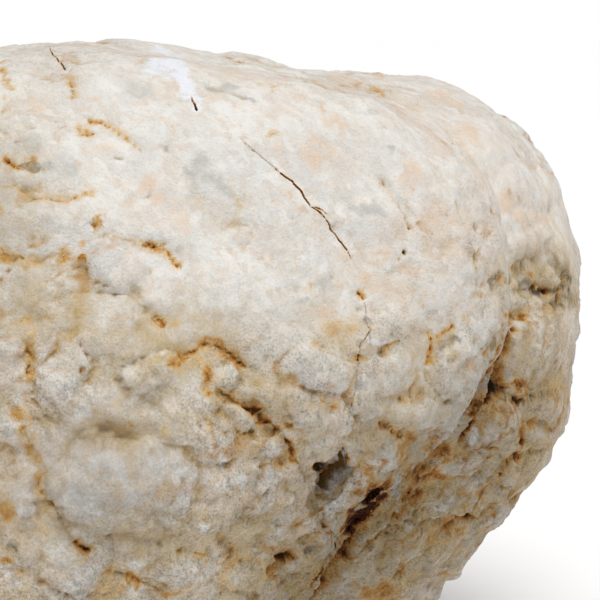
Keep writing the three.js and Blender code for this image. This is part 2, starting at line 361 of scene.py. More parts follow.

# ------------------------------------------------------------
# Marks seen on the front, on the view's plate, listed one by one.

# Cracks and veins: what colours them, half their width at each end, their depth, their points. A
# crack runs on at that width. The others come and go, and are worn narrower (CREASE_WIDTH).
#   gap      an open crack, with painted shadow inside
#   hair     a hairline crack, a thin grey line of painted shadow
#   seam     a crease with brown earth in it
#   vein     a line of ochre
#   olive    a line of grey-green grime and painted shade
#   fold     a crease with little colour
LINES = [
    # the long hairline crack, from the crown to the pocket
    ("hair", 0.05, 0.08, 0.3, [(-10.1, 26.4), (-7.7, 24.2), (-4.2, 21.3), (-2.9, 20.2)]),
    ("gap", 0.07, 0.1, 0.8, [(-3.3, 20.5), (-2, 19.5), (-0.9, 18.8)]),
    ("gap", 0.11, 0.08, 1, [(-1.2, 18.9), (-0.7, 18.3), (0.3, 17.4), (1, 16), (1.7, 15)]),
    ("hair", 0.08, 0.08, 0.4, [(1.7, 15), (2.9, 14.3), (3.6, 13.6), (4.1, 13)]),
    ("hair", 0.08, 0.05, 0.3, [(2.2, 15), (3.6, 14.4), (4.6, 13.5)]),
    ("gap", 0.07, 0.09, 0.9, [(4, 13.1), (4.7, 12.1), (5.6, 10.7), (6.6, 9.2), (7.7, 7.8)]),
    ("hair", 0.08, 0.05, 0.3, [(7.7, 7.8), (8.3, 6.4)]),
    ("seam", 0.5, 0.25, 0.6, [(9.3, 1.7), (10, 0.7), (10.4, -0.1)]),
    ("hair", 0.08, 0.1, 0.25, [(10.4, 0.1), (10.7, -2.4), (11.2, -5), (9.8, -6.9), (9.3, -9.6)]),
    ("seam", 0.3, 0.35, 0.6, [(9.6, -8.6), (9.3, -10)]),
    ("hair", 0.07, 0.05, 0.15, [(9.3, -9.6), (9, -13.8), (7.8, -18.4), (7.4, -21.6)]),
    ("vein", 0.15, 0.15, 0.1, [(-11.2, 17.1), (-9.1, 14.9)]),
    # the crown's left
    ("gap", 0.05, 0.1, 0.4, [(-40.4, 41.1), (-39.4, 39.1), (-38.4, 37.8), (-37.4, 36.5)]),
    ("vein", 0.35, 0.4, 0.4, [(-36.9, 35.4), (-36.4, 33.6), (-36.6, 31.9)]),
    ("vein", 0.3, 0.22, 0.6, [(-34.3, 29.6), (-33.4, 28.5), (-31.7, 28.5), (-29.3, 27.1), (-27.6, 26),
        (-26.4, 24.8), (-24.7, 23.4)]),
    ("vein", 0.25, 0.3, 0.6, [(-35.7, 28.4), (-35.1, 26.8), (-33.8, 26.4), (-32.7, 27)]),
    ("seam", 0.3, 0.35, 0.7, [(-46.7, 22.2), (-45.1, 21.1), (-43.6, 21.7), (-42.5, 22.7)]),
    ("vein", 0.4, 0.3, 0.7, [(-48, 18.1), (-45.8, 18.6), (-42.6, 16.5), (-40, 16.2), (-37.3, 16),
        (-34.6, 17.1), (-31.5, 17.8)]),
    ("gap", 0.05, 0.14, 0.5, [(-17.4, 33), (-16.5, 30.2)]),
    ("fold", 0.4, 0.5, 0.8, [(-15.5, 34.6), (-10.4, 33.3), (-8.2, 32.2)]),
    # the middle of the left
    ("seam", 0.55, 0.25, 0.9, [(-25.1, 9.7), (-24.3, 9.1), (-22.9, 8.2), (-21.5, 8), (-20.2, 6.2),
        (-18.6, 4.8)]),
    ("olive", 0.35, 0.3, 0.7, [(-34.9, 7.2), (-34.6, 5.4), (-33.9, 3.2), (-30.4, 2.1)]),
    ("vein", 0.3, 0.25, 0.5, [(-2.1, 1.1), (-1, 1.5), (0, 1.3)]),
    ("seam", 0.35, 0.3, 0.6, [(-23.7, -2.6), (-21.3, -4.2)]),
    ("vein", 0.6, 0.5, 0.8, [(-43.4, -6.1), (-43.5, -7.5), (-43.2, -9.6), (-43.9, -12.6)]),
    # the creases of the lower left
    ("seam", 0.7, 0.4, 1, [(-20.6, -9.6), (-18.6, -8.8), (-16.8, -8.3), (-14.1, -7), (-11.8, -8),
        (-7.8, -11.4)]),
    ("seam", 0.6, 0.7, 1.1, [(-14.4, -13.4), (-11.2, -15.8), (-9.1, -16.8), (-6.4, -18.2), (-5, -19.8),
        (-2.9, -21.5), (-1.8, -22.9), (-1, -25), (-0.3, -25.7)]),
    ("seam", 0.4, 0.35, 0.8, [(-2.4, -19.7), (-1.1, -20.6)]),
    ("seam", 0.4, 0.35, 0.8, [(-0.2, -22.1), (1, -23)]),
    ("seam", 0.3, 0.35, 0.8, [(-7.2, -27.1), (-5.4, -26.5), (-1.9, -26)]),
    ("seam", 0.3, 0.3, 0.6, [(-15.8, -13.1), (-15.2, -14.7), (-14.4, -13.4), (-14.6, -12)]),
    ("vein", 0.5, 0.6, 0.9, [(-45.6, -18.2), (-44.3, -21.1), (-43.1, -23.5), (-42.4, -25.6),
        (-41.7, -27.4), (-41.6, -30.4), (-40.3, -32.8), (-39, -34.2)]),
    ("seam", 0.5, 0.6, 1.2, [(-36.6, -38.4), (-35.2, -39.5), (-33.5, -40.6)]),
    ("fold", 0.5, 0.5, 0.8, [(-40, -33.2), (-38.2, -36), (-36.6, -38.4)]),
    ("vein", 0.35, 0.3, 0.6, [(-11.3, -40.8), (-12.2, -42.7)]),
    ("seam", 0.45, 0.4, 0.9, [(-4.6, -43.8), (-3.8, -42.3), (-1.8, -41.3), (0.3, -41.3)]),
    ("vein", 0.4, 0.3, 0.7, [(-20, -40.2), (-15.6, -41), (-12.4, -42.6)]),
    ("vein", 0.3, 0.3, 0.6, [(-1, -37.2), (1.6, -34.8), (3.6, -34)]),
    ("vein", 0.3, 0.25, 0.6, [(-13.8, -17.4), (-11.4, -18.6), (-9.6, -21.6), (-5.8, -21.4)]),
    ("vein", 0.3, 0.25, 0.6, [(2.6, -15.8), (5.6, -17.2), (8.6, -16.6)]),
    ("olive", 0.4, 0.4, 0.7, [(-4.4, -44), (-2.9, -45.4), (-2.1, -47)]),
    ("olive", 0.5, 0.4, 0.8, [(-0.7, -38.7), (1.3, -38.2), (3.2, -37)]),
    ("hair", 0.12, 0.1, 0.5, [(4.2, -36.4), (5.2, -37.8), (5.8, -40.1)]),
    ("olive", 0.4, 0.5, 0.9, [(-30.4, -43.8), (-26.6, -44.6), (-21.6, -46.9)]),
    # the fine cracks near the rim
    ("fold", 0.4, 0.3, 0.6, [(13.1, 19.5), (15.5, 16), (17.8, 12.8)]),
    ("olive", 0.35, 0.3, 0.7, [(27.4, 9.7), (28, 7.7), (28.6, 5.8)]),
    ("seam", 0.25, 0.25, 0.7, [(20.6, -4.6), (21.4, -6.9), (21.1, -9.1), (20.1, -11.1)]),
    ("seam", 0.22, 0.22, 0.6, [(25, -3.8), (23.2, -5.3), (21.5, -6.4)]),
    ("olive", 0.25, 0.25, 0.6, [(21.5, -6.8), (23.5, -6.5), (25.2, -6.2)]),
    ("seam", 0.3, 0.25, 0.7, [(30.9, -7), (30.1, -8.5), (29.3, -8.6)]),
    ("seam", 0.22, 0.18, 0.6, [(24, -9.3), (25.6, -9)]),
    ("seam", 0.25, 0.2, 0.6, [(15.7, -15.6), (17.8, -16.5), (18.6, -15.8), (20.1, -14.8)]),
    ("olive", 0.35, 0.25, 0.7, [(12.3, -7.9), (14.1, -7.5), (16.5, -6.6)]),
    ("seam", 0.3, 0.35, 0.8, [(12.3, -19.8), (14.1, -20.5), (15.7, -21.6), (17.1, -22.1), (19.5, -21.8)]),
    # the right lobe
    ("seam", 0.6, 0.5, 1.2, [(32, 3), (33.1, 4.2)]),
    ("olive", 0.3, 0.4, 0.7, [(33.3, 1.9), (35.2, 1.6), (38.7, 1.9)]),
    ("seam", 0.9, 0.8, 1.4, [(38.5, 2), (40.4, 1.5)]),
    ("seam", 0.8, 0.6, 1.2, [(42.4, 2), (41.3, 0.3)]),
    ("seam", 0.45, 0.35, 0.9, [(33.3, -2.8), (36, -2.6)]),
    ("seam", 0.4, 0.3, 0.8, [(33.8, -4.6), (35.2, -4.8)]),
    ("seam", 0.8, 0.6, 1.6, [(32.3, -14), (34.6, -15.8), (35.5, -16.8), (36.5, -15)]),
    ("vein", 0.5, 0.7, 0.9, [(34.6, -25), (32, -27.5), (30.8, -29), (29.1, -31.1), (27.6, -33.6),
        (26.6, -34.4), (24, -36.6), (20.9, -38.2)]),
    ("vein", 0.6, 0.8, 0.9, [(18.4, -41.4), (16.2, -43.8), (12.8, -46.6)]),
    # under the rim
    ("seam", 1.8, 2.4, 3.4, [(13.4, -30.2), (11.4, -32.6), (9.8, -34.6), (7.8, -37.8)]),
    ("vein", 0.5, 0.4, 0.8, [(19.7, -30.7), (17.2, -32.1), (16, -33.8), (12.4, -38), (8.2, -41.8),
        (2.4, -46.6)]),
    ("seam", 0.3, 0.3, 0.8, [(7.8, -37.8), (5.6, -41.6), (1, -46.8)]),
    ("vein", 0.4, 0.4, 0.6, [(21.7, -28.2), (19, -28.6), (17.4, -27.4)]),
]

# Pits: where they are, how wide, and how deep.
PITS = [
    (17.8, 11.5, 0.35, 0.8), (16.8, 7.7, 0.4, 0.8), (16, 6.7, 0.3, 0.6), (31.7, -13.9, 1.25, 3.2),
    (-32.9, 12, 0.4, 0.4), (-35.1, -11.2, 0.5, 0.4), (-5, -19.9, 0.5, 0.5), (-12.8, -46.9, 0.3, 0.4),
    (-46.7, 22.2, 0.4, 0.4), (34.4, -25.1, 0.6, 0.5), (-11.2, -40.9, 0.5, 0.4), (-42.6, 22.6, 0.4, 0.3),
    (28.2, 5.3, 0.35, 0.4), (38, 2.2, 0.9, 0.8), (40, 1.4, 1, 0.9), (42.3, 3.6, 0.7, 0.8),
    (42, 0.4, 1, 0.9), (32.3, 3.4, 0.8, 0.8), (35.5, 5, 0.5, 0.6), (33.8, -2.8, 0.6, 0.6),
    (34.4, -4.6, 0.7, 0.6), (35.6, -16.6, 0.8, 0.9), (28.4, -16.6, 0.8, 0.8), (35.6, -22.8, 0.6, 0.8),
]

# Rounded lumps and hollows of the front: the middle, half the length, half the width, the height
# and, where one doesn't lie level, the turn of its length in degrees from the plate's right.
MANTLE_LUMPS = [
    (-38.3, -12.5, 8, 3.8, 1.2, 85), (-30.5, -4.8, 6, 5, 0.9, 10), (-30, 5.6, 5.2, 4.2, 1),
    (-41.5, 1.2, 5.2, 4.2, 0.9), (-45.8, -7.6, 3.6, 2.4, 0.8, 80), (-37, 13, 6.5, 3.2, 0.7, -5),
    (-44.5, 12, 4, 3.5, 0.7), (-21.5, 1.4, 4.2, 4.8, 0.7), (-24, -11.2, 6.2, 3.2, 1, 8),
    (-27.5, -29.8, 13.5, 8.4, 2.4, -5), (-35, -18, 4.5, 4, 0.8), (-21.5, -20.5, 5.5, 3.5, 0.9),
    (-13, -22, 5.5, 4, 1, -10), (-11, -12.6, 3.2, 2.8, 1.1, -30), (-5.5, -16.4, 3.4, 2.4, 1.1, -35),
    (-9.6, -19.6, 5.6, 2.6, 1.2, -20), (-6.5, -23.2, 5.4, 3, 1.3, -15), (-3.4, -31.4, 7, 4.9, 1.6, -10),
    (-12.2, -31, 3.6, 5.2, 1), (3.2, -11.6, 6.6, 4, 1.4, -3), (2.2, -20.8, 2.6, 3, 0.9),
    (7.4, -20.4, 2.8, 3, 0.9), (12.4, -16.4, 3.8, 2.6, 1, -15), (17.6, -18.4, 4.2, 3.3, 1.4, 5),
    (12.6, -25.4, 5.6, 4.4, 1.5, 35), (14.4, -11.4, 5.2, 3.4, 0.9), (26.6, -13.4, 6.2, 4.2, 1, -60),
    (27.5, -8.4, 1.8, 1.7, 0.6), (23.4, -18.8, 3.6, 2.2, 1, 25), (3.4, -39.4, 3.4, 2.8, 1.2, 50),
    (-1.6, -44.4, 2.9, 2.4, 1), (-8.5, -36.5, 5.5, 3.2, 0.9, -5), (-15.5, -36, 3, 3.2, 0.8),
    (-20.5, -44.4, 5.6, 2.6, 1.1), (-9.5, -45.2, 4.2, 2.6, 1), (-37, -43.5, 5, 3.4, 1, -20),
    (-45.6, -31.5, 3.4, 4.6, 1), (-46, -22, 2.6, 4, 0.8), (-44.6, -40.6, 2.4, 2.8, 0.9),
    (11.8, 12.4, 6.6, 4.4, 0.9, -25), (24.5, 3, 5.2, 6.5, 0.7), (15.5, -3.6, 4.8, 4, 0.6),
    (-43, 28.5, 3.5, 2.6, 0.5), (-11, 20.5, 15, 6.5, 0.8, -42), (26.5, 21.5, 7, 6, 0.6, -30),
    (5, 28, 9, 4, 0.5, -20), (-42.5, 21.6, 3.6, 1.3, -1.1, 5), (-30, -20.8, 7.5, 1.6, -0.8, -5),
    (-33, 33, 6, 3.5, 0.4, -20), (-12, 2, 6, 5, 0.5, 20), (-19.5, 9, 6, 3.4, 0.6, -25),
]
BODY_LUMPS = [
    (36.6, 18, 6.4, 3.8, 1.1, -10), (35, 8.8, 2.6, 3.2, 1), (38.8, 9, 2.4, 3.4, 1),
    (42.6, 8, 2.2, 3.4, 0.9), (33.4, 2.4, 1.4, 1.4, 0.7), (35.8, 3.6, 1.2, 1.2, 0.6),
    (34.2, -0.3, 1.8, 1.6, 0.9), (37.6, -0.9, 2.2, 1.7, 0.9), (38.4, -7.4, 5.4, 6.2, 1.7),
    (33, -20.2, 2.9, 5.2, 1.4, 10), (39.6, -17.4, 3.6, 2.6, 1.1, 20), (38.4, -22.6, 2.4, 2.6, 1),
    (36.8, -27.8, 3.4, 3, 1.1, 40), (29.6, -23.6, 1.7, 4, 0.9, -10), (27.3, -22, 1.3, 2.8, 0.8),
    (26.6, -27.8, 4.2, 2.7, 1.1, 50), (22.4, -31.8, 4.2, 2.6, 1.1, 50), (17.2, -36.8, 4.8, 2.2, 1, 50),
    (31.5, -33.4, 4.5, 3, 1, 50), (23.5, -40, 4, 2.4, 0.6, 50), (11.4, -41.6, 4, 2.2, 0.9, 45),
    (31, 25, 6, 3.6, 0.7, -50), (20, 34.4, 5, 2, 0.5, -5), (12.5, 34.8, 1.8, 1.2, -1.2),
]

# Stains, and patches of painted shade, shadow and highlight: the kind, then for each one its
# middle, half its length, half its width, its strength and, where it doesn't lie level, its turn
# in degrees.
STAINS = {
    "ochre": [
        (-47.5, 36.5, 0.7, 2.4, 0.7), (-46.3, 34.1, 1.1, 0.8, 0.8), (-47.3, 31, 0.6, 1.6, 0.5),
        (-36.4, 34.4, 0.8, 1.4, 0.7), (-38, 6.9, 1.7, 1.7, 0.9), (-47.5, 7, 1.7, 1.3, 0.8),
        (-44, 6.2, 2.3, 1.1, 0.7, -10), (-47.8, 15, 0.8, 2, 0.6), (-43.3, -8.6, 1, 3.8, 0.85),
        (-44, -13, 1.4, 0.8, 0.8, 20), (-46.8, -6, 0.6, 3.5, 0.45, -10), (-44.8, -21, 1.1, 1.2, 0.8),
        (-45.6, -18.4, 1.2, 1.4, 0.9, -30), (-42.7, -24, 0.9, 3, 0.7, 15),
        (-41.8, -27.6, 0.9, 1.9, 0.6, 10), (-41.8, -15.2, 1, 0.8, 0.6), (-40, -2.6, 3.4, 1.4, 0.55, -10),
        (-34, -2, 3.5, 1, 0.3, 10), (-21.3, -21.8, 1.4, 1.2, 0.55), (-29.5, -17.2, 1, 2, 0.35),
        (-16.5, -9, 5, 2.2, 0.5, 10), (-14, -20.5, 3, 1.2, 0.4), (-20, -4, 1.5, 1.2, 0.45),
        (-35, 26.9, 1.4, 0.8, 0.6, 20), (1.7, 1.8, 0.9, 1, 0.6), (5.2, 1.8, 0.5, 0.8, 0.5),
        (5.8, -4.8, 3, 1.4, 0.5), (2.4, -7.4, 1, 0.6, 0.6), (13.5, -7.6, 1.5, 0.5, 0.7, 10),
        (18.2, -9, 0.8, 0.8, 0.6), (8.5, -12.5, 0.6, 2.6, 0.35), (5, -17, 4.5, 1, 0.5),
        (17.2, -22.4, 1.8, 1.6, 0.75), (16.4, -24.6, 1.2, 1.8, 0.6), (10.8, -27.5, 1, 2.6, 0.85, 30),
        (-11.6, -41.4, 1.3, 1.8, 0.7, -15), (-4.6, -39.8, 1.8, 0.8, 0.6), (-2, -41.4, 3, 1.2, 0.6, 10),
        (-8.5, -41.2, 3, 1.2, 0.45), (-9, -23.8, 4, 1.4, 0.45), (-12, -45.5, 1.6, 1, 0.6),
        (3.6, -44.8, 2.8, 2.6, 0.6, 45), (-47, -33.5, 1.4, 2, 0.85), (-40.5, -36.5, 2.5, 1.5, 0.4),
        (-44.6, -43.8, 0.9, 0.8, 0.95), (28.8, 0.8, 0.7, 0.6, 0.7), (20, 0, 0.4, 2, 0.4),
        (26.5, -3, 0.7, 1.5, 0.4), (40.5, -13.8, 2.4, 1.2, 0.4), (33.2, -10.5, 1, 3, 0.4),
        (31, -17.4, 1.3, 2, 0.6), (25.5, -24.4, 1.2, 0.8, 0.7), (22.2, -28.4, 1.6, 0.8, 1.2, -10),
        (18.2, -31.6, 1.6, 1.4, 1.2, 45), (16.2, -34.2, 2, 0.9, 1.2, 45), (24, -36.8, 2.6, 1.6, 1, 20),
        (26.4, -34.6, 1.8, 0.6, 0.8, 20), (21, -38.4, 1.4, 1.1, 0.8), (16.2, -43.6, 1.1, 2, 0.9, -15),
        (12.8, -46.8, 3.2, 1.3, 0.95, 15), (28.8, -31, 1.2, 1.4, 0.9), (39, -23, 2.5, 1.8, 0.3),
        (38, -27, 1.5, 2, 0.3), (33, -29, 2.6, 1, 0.45, 45), (12.6, 33.2, 1.7, 0.6, 0.8, -20),
        (6.5, 36, 2.2, 0.9, 0.4), (3.4, 31, 0.5, 0.9, 0.6), (-4.6, 27, 1.1, 0.9, 0.55, -20),
        (-6.8, 34.3, 0.6, 0.5, 0.5), (-4.2, 33.9, 0.6, 0.5, 0.6), (-1.6, 16.3, 1.3, 0.5, 0.5, -40),
        (36.8, -20, 2, 1, 0.7),
    ],
    # Peach blotches; the two broad patches on the right lobe, at (40, 16) and (30, 24), are painted shade
    # there.
    "peach": [
        (-42, 30.5, 1.1, 1.3, 0.6), (-35.2, 21.8, 0.8, 1.6, 0.7), (-31, 24, 2, 1.5, 0.5, -20),
        (-24.2, 18.8, 1.3, 2.2, 0.8, -50), (-22.8, 16.4, 1.4, 1.4, 0.7), (-27, 15.5, 0.9, 1.3, 0.8),
        (-20, 13, 2.5, 3, 0.5), (-40.5, 16.2, 2.5, 1, 0.5, -10), (0.8, 14.4, 1.1, 0.7, 0.9, -30),
        (2.5, 23.5, 3.2, 2.6, 0.7), (15, 31, 4, 1.5, 0.6, -10), (23, 32, 4, 1.2, 0.6, -20),
        (27, 27.5, 2.4, 1.4, 0.7, -30), (17.5, 20, 2.2, 3.2, 0.5), (18.5, 5, 2.4, 1.4, 0.8),
        (22, 13, 3.4, 2.2, 0.5), (11, 3.2, 2.2, 1.2, 0.8, -40), (13, 8, 3, 2.2, 0.4),
        (4.5, -2.4, 1.9, 1.6, 0.8), (5.5, 28.5, 2.4, 1.1, 0.7, -30), (33, 16, 2.2, 2.6, 0.8),
        (36.5, 13.2, 4.5, 0.9, 0.8, -10), (33.5, -4, 1.5, 2.5, 0.5), (-34, 8, 4, 2, 0.4),
        (-8, 30.5, 4, 1.2, 0.4, -10), (17, 1, 4, 2.2, 0.4), (37, 21.5, 2, 1.4, 0.5), (40, 16, 5, 12, 0.35),
        (30, 24, 8, 6, 0.3, -50),
    ],
    "earth": [
        (10.4, -33.8, 4.8, 1.4, 1.6, 55), (12.4, -31, 2, 0.9, 1.5, 40), (-32.9, 12, 0.7, 1, 1),
        (-34.9, 9.2, 0.5, 0.4, 0.8), (-35, 7, 0.6, 0.6, 0.8), (-42.7, 22.5, 0.9, 0.9, 0.6),
        (-45.6, -18.2, 0.9, 1.1, 0.7, -30), (-44.6, -3.6, 0.9, 0.6, 0.8),
        (-22.6, -3.4, 1.3, 0.7, 0.7, -45), (-27, -19.2, 0.7, 0.7, 0.6), (-19.2, -9.2, 1.9, 1, 0.9, 15),
        (-14, -7, 2.2, 1.2, 0.9, 10), (-12, -8.4, 1.1, 0.7, 0.8, -30), (-20.3, -9.8, 0.7, 0.7, 0.95),
        (-15.3, -12, 1, 1.7, 0.85, -30), (-14.8, -14.6, 0.8, 0.6, 0.85), (-10.8, -9.6, 1.6, 0.7, 0.7, -40),
        (11.8, -29.8, 1, 0.9, 0.9), (-11.2, -40.8, 0.9, 1.1, 1), (-4.2, -43.8, 0.7, 0.8, 0.85),
        (-1.7, -20.4, 0.9, 0.7, 0.8), (-5, -19.9, 1, 0.6, 1), (-1.2, -24.4, 0.5, 1.5, 0.9),
        (-46.8, -42, 1.2, 0.5, 0.95, -15), (-27, -44.8, 1.5, 1.2, 0.8), (-30.4, -43.6, 0.8, 0.6, 0.8),
        (-29.5, -45.8, 3, 1.8, 0.4), (-21, -47, 3, 0.6, 0.6), (-12.8, -46.9, 0.4, 0.4, 1),
        (33.8, -13.7, 3, 1, 0.85, -15), (35.2, -16.2, 1.3, 0.7, 1, -10), (36.3, -15, 0.5, 0.9, 1),
        (28.2, -16.4, 1.6, 0.9, 0.95, 40), (27.6, -18.2, 0.7, 1.5, 0.85, -10),
        (36.8, -19.8, 1.6, 0.8, 0.6), (35.7, -22.6, 0.8, 2.4, 0.75), (34.4, -25.1, 0.9, 0.8, 1),
        (34.2, 5.4, 0.6, 0.6, 0.7), (37, 4, 0.7, 0.5, 0.8), (22.5, -24.6, 2.2, 1.5, 0.75, -20),
        (19.5, -28, 2.6, 1.8, 0.75, 20), (-46.8, 22.3, 0.9, 0.6, 0.7), (35.6, -2.7, 0.8, 0.4, 0.8),
        (33.7, -2.8, 0.8, 0.5, 0.8), (33.9, -4.6, 1.2, 0.5, 0.85, -10), (-24.6, 9.3, 1.1, 0.6, 0.8, -30),
    ],
    # Grime, and painted shade: the patches on the right lobe and in the valleys of the lower left darken
    # crevices and valleys that lie in shade.
    "grime": [
        (31.9, 3.1, 1.7, 0.9, 1.3, 35), (38.9, 1.8, 3, 1.2, 1.3, -12), (42.4, 3.6, 1, 2.2, 1.2, 10),
        (42, 0.4, 2, 1.5, 1.3, 20), (35.4, 4.8, 0.8, 1.6, 1, 10), (40.6, 6, 0.8, 2, 0.9, 10),
        (-25.5, -15.5, 5, 2.2, 0.6, 5), (-23, -16.5, 1.1, 1.9, 0.6), (-23.5, -11.8, 1.6, 0.9, 0.5, 20),
        (-32, -22.5, 5, 2.2, 0.65), (-24, -24.5, 5, 1.2, 0.4), (-35.1, -11.2, 0.6, 0.9, 1),
        (-26.5, 1.5, 1, 2.4, 0.5, 10), (-34.6, 4.5, 0.7, 2.6, 0.5, -20), (-31.5, 2, 2, 0.9, 0.5),
        (-23.8, -1.5, 1.5, 1.9, 0.5, -30), (-40, -2.8, 2.6, 1, 0.4, -10),
        (-13.8, -31.4, 2.6, 0.6, 0.6, 20), (-17, -32.3, 1.3, 0.5, 0.6), (-22.8, -34, 1.1, 0.5, 0.7, 30),
        (-21, -36.4, 1.9, 0.5, 0.6, -25), (-38.8, -34, 1.4, 0.7, 0.9, -45),
        (-36, -38.8, 1.6, 0.6, 0.9, -30), (-38.5, -31, 1, 2, 0.4), (-25, -38.5, 5, 1, 0.45, -5),
        (22.4, -7, 1.7, 1.4, 0.6), (20.6, -10.2, 0.6, 1.8, 0.7, -20), (24.8, -6.4, 1, 0.5, 0.8, -20),
        (24.2, -9.4, 1, 0.4, 0.9, 10), (29.4, -8.6, 0.8, 0.4, 0.9, 10), (30.8, -7.2, 0.5, 0.8, 0.9, -30),
        (28.2, -29.3, 0.7, 0.5, 0.8), (18, -36.2, 1.1, 0.7, 0.6), (37, -28, 2, 2, 0.3),
        (13.6, 19.4, 1.5, 0.6, 0.5, -50), (-41, -45, 2.5, 1.5, 0.3), (34.2, 16.8, 1.2, 0.9, 0.6),
        (28, 7.4, 0.6, 1.8, 0.5, 20), (-21.4, 24.2, 2.2, 0.4, 0.5, -40),
    ],
    "grey": [
        (-38, 21, 3.8, 3, 0.6), (-44, 24.8, 3.8, 1.6, 0.6), (-14, 19.8, 6.5, 1.4, 0.7, -50),
        (-17.6, 20.6, 1.6, 0.6, 0.8, -50), (-21.5, 24.4, 2.2, 0.6, 0.8, -40),
        (-26, 34, 3.5, 1.8, 0.5, -25), (-9.4, 33.2, 2.4, 0.6, 1, -30), (-13, 34.3, 3.2, 0.7, 0.8, -5),
        (3.9, 2.2, 1.3, 1.6, 0.8), (0.4, -0.3, 1.2, 0.6, 0.9), (-3.8, 1.6, 0.7, 0.6, 0.8),
        (-1.2, -2.2, 0.6, 0.5, 0.8), (10.8, 14.4, 3.4, 1.2, 0.8, -15), (14.5, 24, 0.6, 0.7, 0.9),
        (12, 30, 2.2, 0.9, 0.5), (-28, -33, 8, 3.5, 0.35), (-30, -27, 8, 4, 0.3), (9.4, -9.4, 0.6, 1, 0.8),
        (9.2, -13.4, 0.8, 1.2, 0.7), (-3.8, -35.8, 0.6, 1.1, 0.6), (-7.5, 9.5, 5, 2, 0.4),
    ],
    # Chalk-white patches, and painted highlights: the thin pale streaks along the upper edges of lumps
    # stand for light catching them.
    "chalk": [
        (-38, -15, 2, 3.5, 0.5, -30), (-35, -17.8, 1.6, 1.7, 0.7), (-33, -9, 3, 0.6, 0.5, -25),
        (-24.5, -8.2, 3.6, 0.6, 0.6, 10), (-45, -16.5, 0.8, 2, 0.5), (7, 0.5, 1, 2.6, 0.5),
        (12.5, -6.5, 1.8, 0.7, 0.9, -10), (10.9, -13, 0.8, 2.4, 0.6), (3.3, 1.2, 0.6, 0.8, 0.8),
        (-12.4, -25.8, 1.1, 2, 0.9), (-9.7, -29.3, 0.9, 1.9, 0.95), (-15.6, -36.4, 1.4, 0.9, 0.8),
        (-3.2, -36.8, 1.7, 1.3, 0.6), (6.2, -43.4, 1, 0.5, 0.8), (5.4, -33.2, 0.8, 1.4, 0.7),
        (-38.3, -32.3, 0.8, 1.3, 1), (-44.5, -33.8, 1.4, 1.3, 0.9), (-33.2, -34, 1.6, 1.2, 0.6),
        (-27, -42.2, 1.1, 0.8, 0.7), (27.4, -21.4, 0.8, 2, 1, -10), (30.8, -21.5, 1.2, 2.5, 0.5),
        (25, -27, 2.5, 2, 0.4), (21.5, -33, 1.8, 1.4, 0.5), (27.5, -8.4, 1.5, 1.4, 0.6),
        (-43.6, 28.6, 1.6, 1.2, 0.7), (-7.5, 21.5, 5, 3, 0.4, -40), (-11.5, 30.5, 5, 1, 0.6, -10),
    ],
    "sand": [
        (-46, 18, 7, 14, 0.3), (-40, -2, 8, 7, 0.5), (-22, -8, 14, 7, 0.55), (-8, -16, 8, 6, 0.5, -30),
        (6, -6, 6, 5, 0.3), (-28, -20, 12, 4, 0.4), (-18, -38, 14, 5, 0.4), (-6, -40, 8, 6, 0.6),
        (2, -44, 6, 5, 0.7), (14, -20, 9, 5, 0.45, 20), (22, -12, 7, 8, 0.3, 30), (40, 3, 8, 6, 0.6),
        (38, -12, 6, 9, 0.5), (30, -24, 8, 7, 0.5, 45), (18, -38, 14, 8, 0.6, 45), (36, -26, 6, 6, 0.5),
        (-44, -38, 6, 8, 0.35), (1, -24, 3, 8, 0.35),
    ],
    # Painted shade over the left and lower left: the colour there darker, its crumbs and relief calmer.
    "dim": [
        (-48, 14, 9, 16, 0.8), (-44, -10, 9, 9, 0.4), (-34, -32, 24, 16, 1.1), (-14, -44, 14, 5, 0.6),
        (8, -30, 4, 8, 0.3), (-24, -8, 22, 12, 0.45),
    ],
    # Painted shadow: near-black spots in the hole beyond the rim and in the crevices under the rim and on
    # the right lobe.
    "dark": [
        (31.8, -14, 1.5, 1.1, 1.3, 40), (28.2, -16.8, 1.7, 0.5, 0.7, 40),
        (38.9, 1.7, 1.7, 0.45, 0.75, -10), (41.8, 0.8, 0.5, 1.1, 0.75), (33, 3.6, 1, 0.4, 0.7, 40),
        (35.5, -16.4, 1.2, 0.4, 0.7, -20),
    ],
    "ice": [
        (-22.3, 38, 2.8, 1.6, 1, 10), (-19.8, 36.8, 2.2, 1.4, 1, -30), (-18.2, 34.6, 1.3, 2.4, 1, 15),
        (-17, 31.8, 1, 2, 0.8, 20), (-21.5, 40.5, 2.2, 2, 0.9), (-19.4, 39.8, 1.6, 1.6, 0.7),
    ],
}

# The broken pocket's outline.
POCKET = [
    (2.1, -26.5), (2.7, -25.8), (4.4, -26.1), (5.6, -25.2), (6.7, -24), (7.2, -23.2), (7.5, -24.8),
    (8.1, -26.2), (8.8, -27.4), (7.7, -29.1), (6.2, -30.3), (5.4, -31.7), (4.6, -33.6), (4.4, -31.7),
    (4.1, -31.2), (2.8, -30.1), (2.5, -29.6), (3.3, -28.6), (3, -27.8),
]

# What each kind of line leaves on the surface, and how strongly.
COLOURING = {
    "gap": {"dark": 0.9, "grime": 0.1},
    "hair": {"dark": 0.25, "grime": 0.15},
    "seam": {"iron": 1.0, "grime": 0.1},
    "vein": {"iron": 0.65},
    "olive": {"iron": 0.35, "grime": 0.8},
    "fold": {"iron": 0.25, "grime": 0.4},
}
SHARP = ("gap", "hair")  # these run on unbroken
CREASE_WIDTH = 0.6  # of their own half width, for the lines that aren't sharp
AT_A_TIME = 4000  # how many points are held against a line at once, to save memory
MARK_REACH = 7.0  # how far from a line it still leaves anything
LINE_STEP = 0.25  # between a line's places
TINTS = ("dark", "iron", "grime", "peach", "grey", "chalk", "ice", "sand", "dim")
IRON = {"ochre": ("iron", 0.72), "earth": ("iron", 1.1)}  # two strengths of one stain

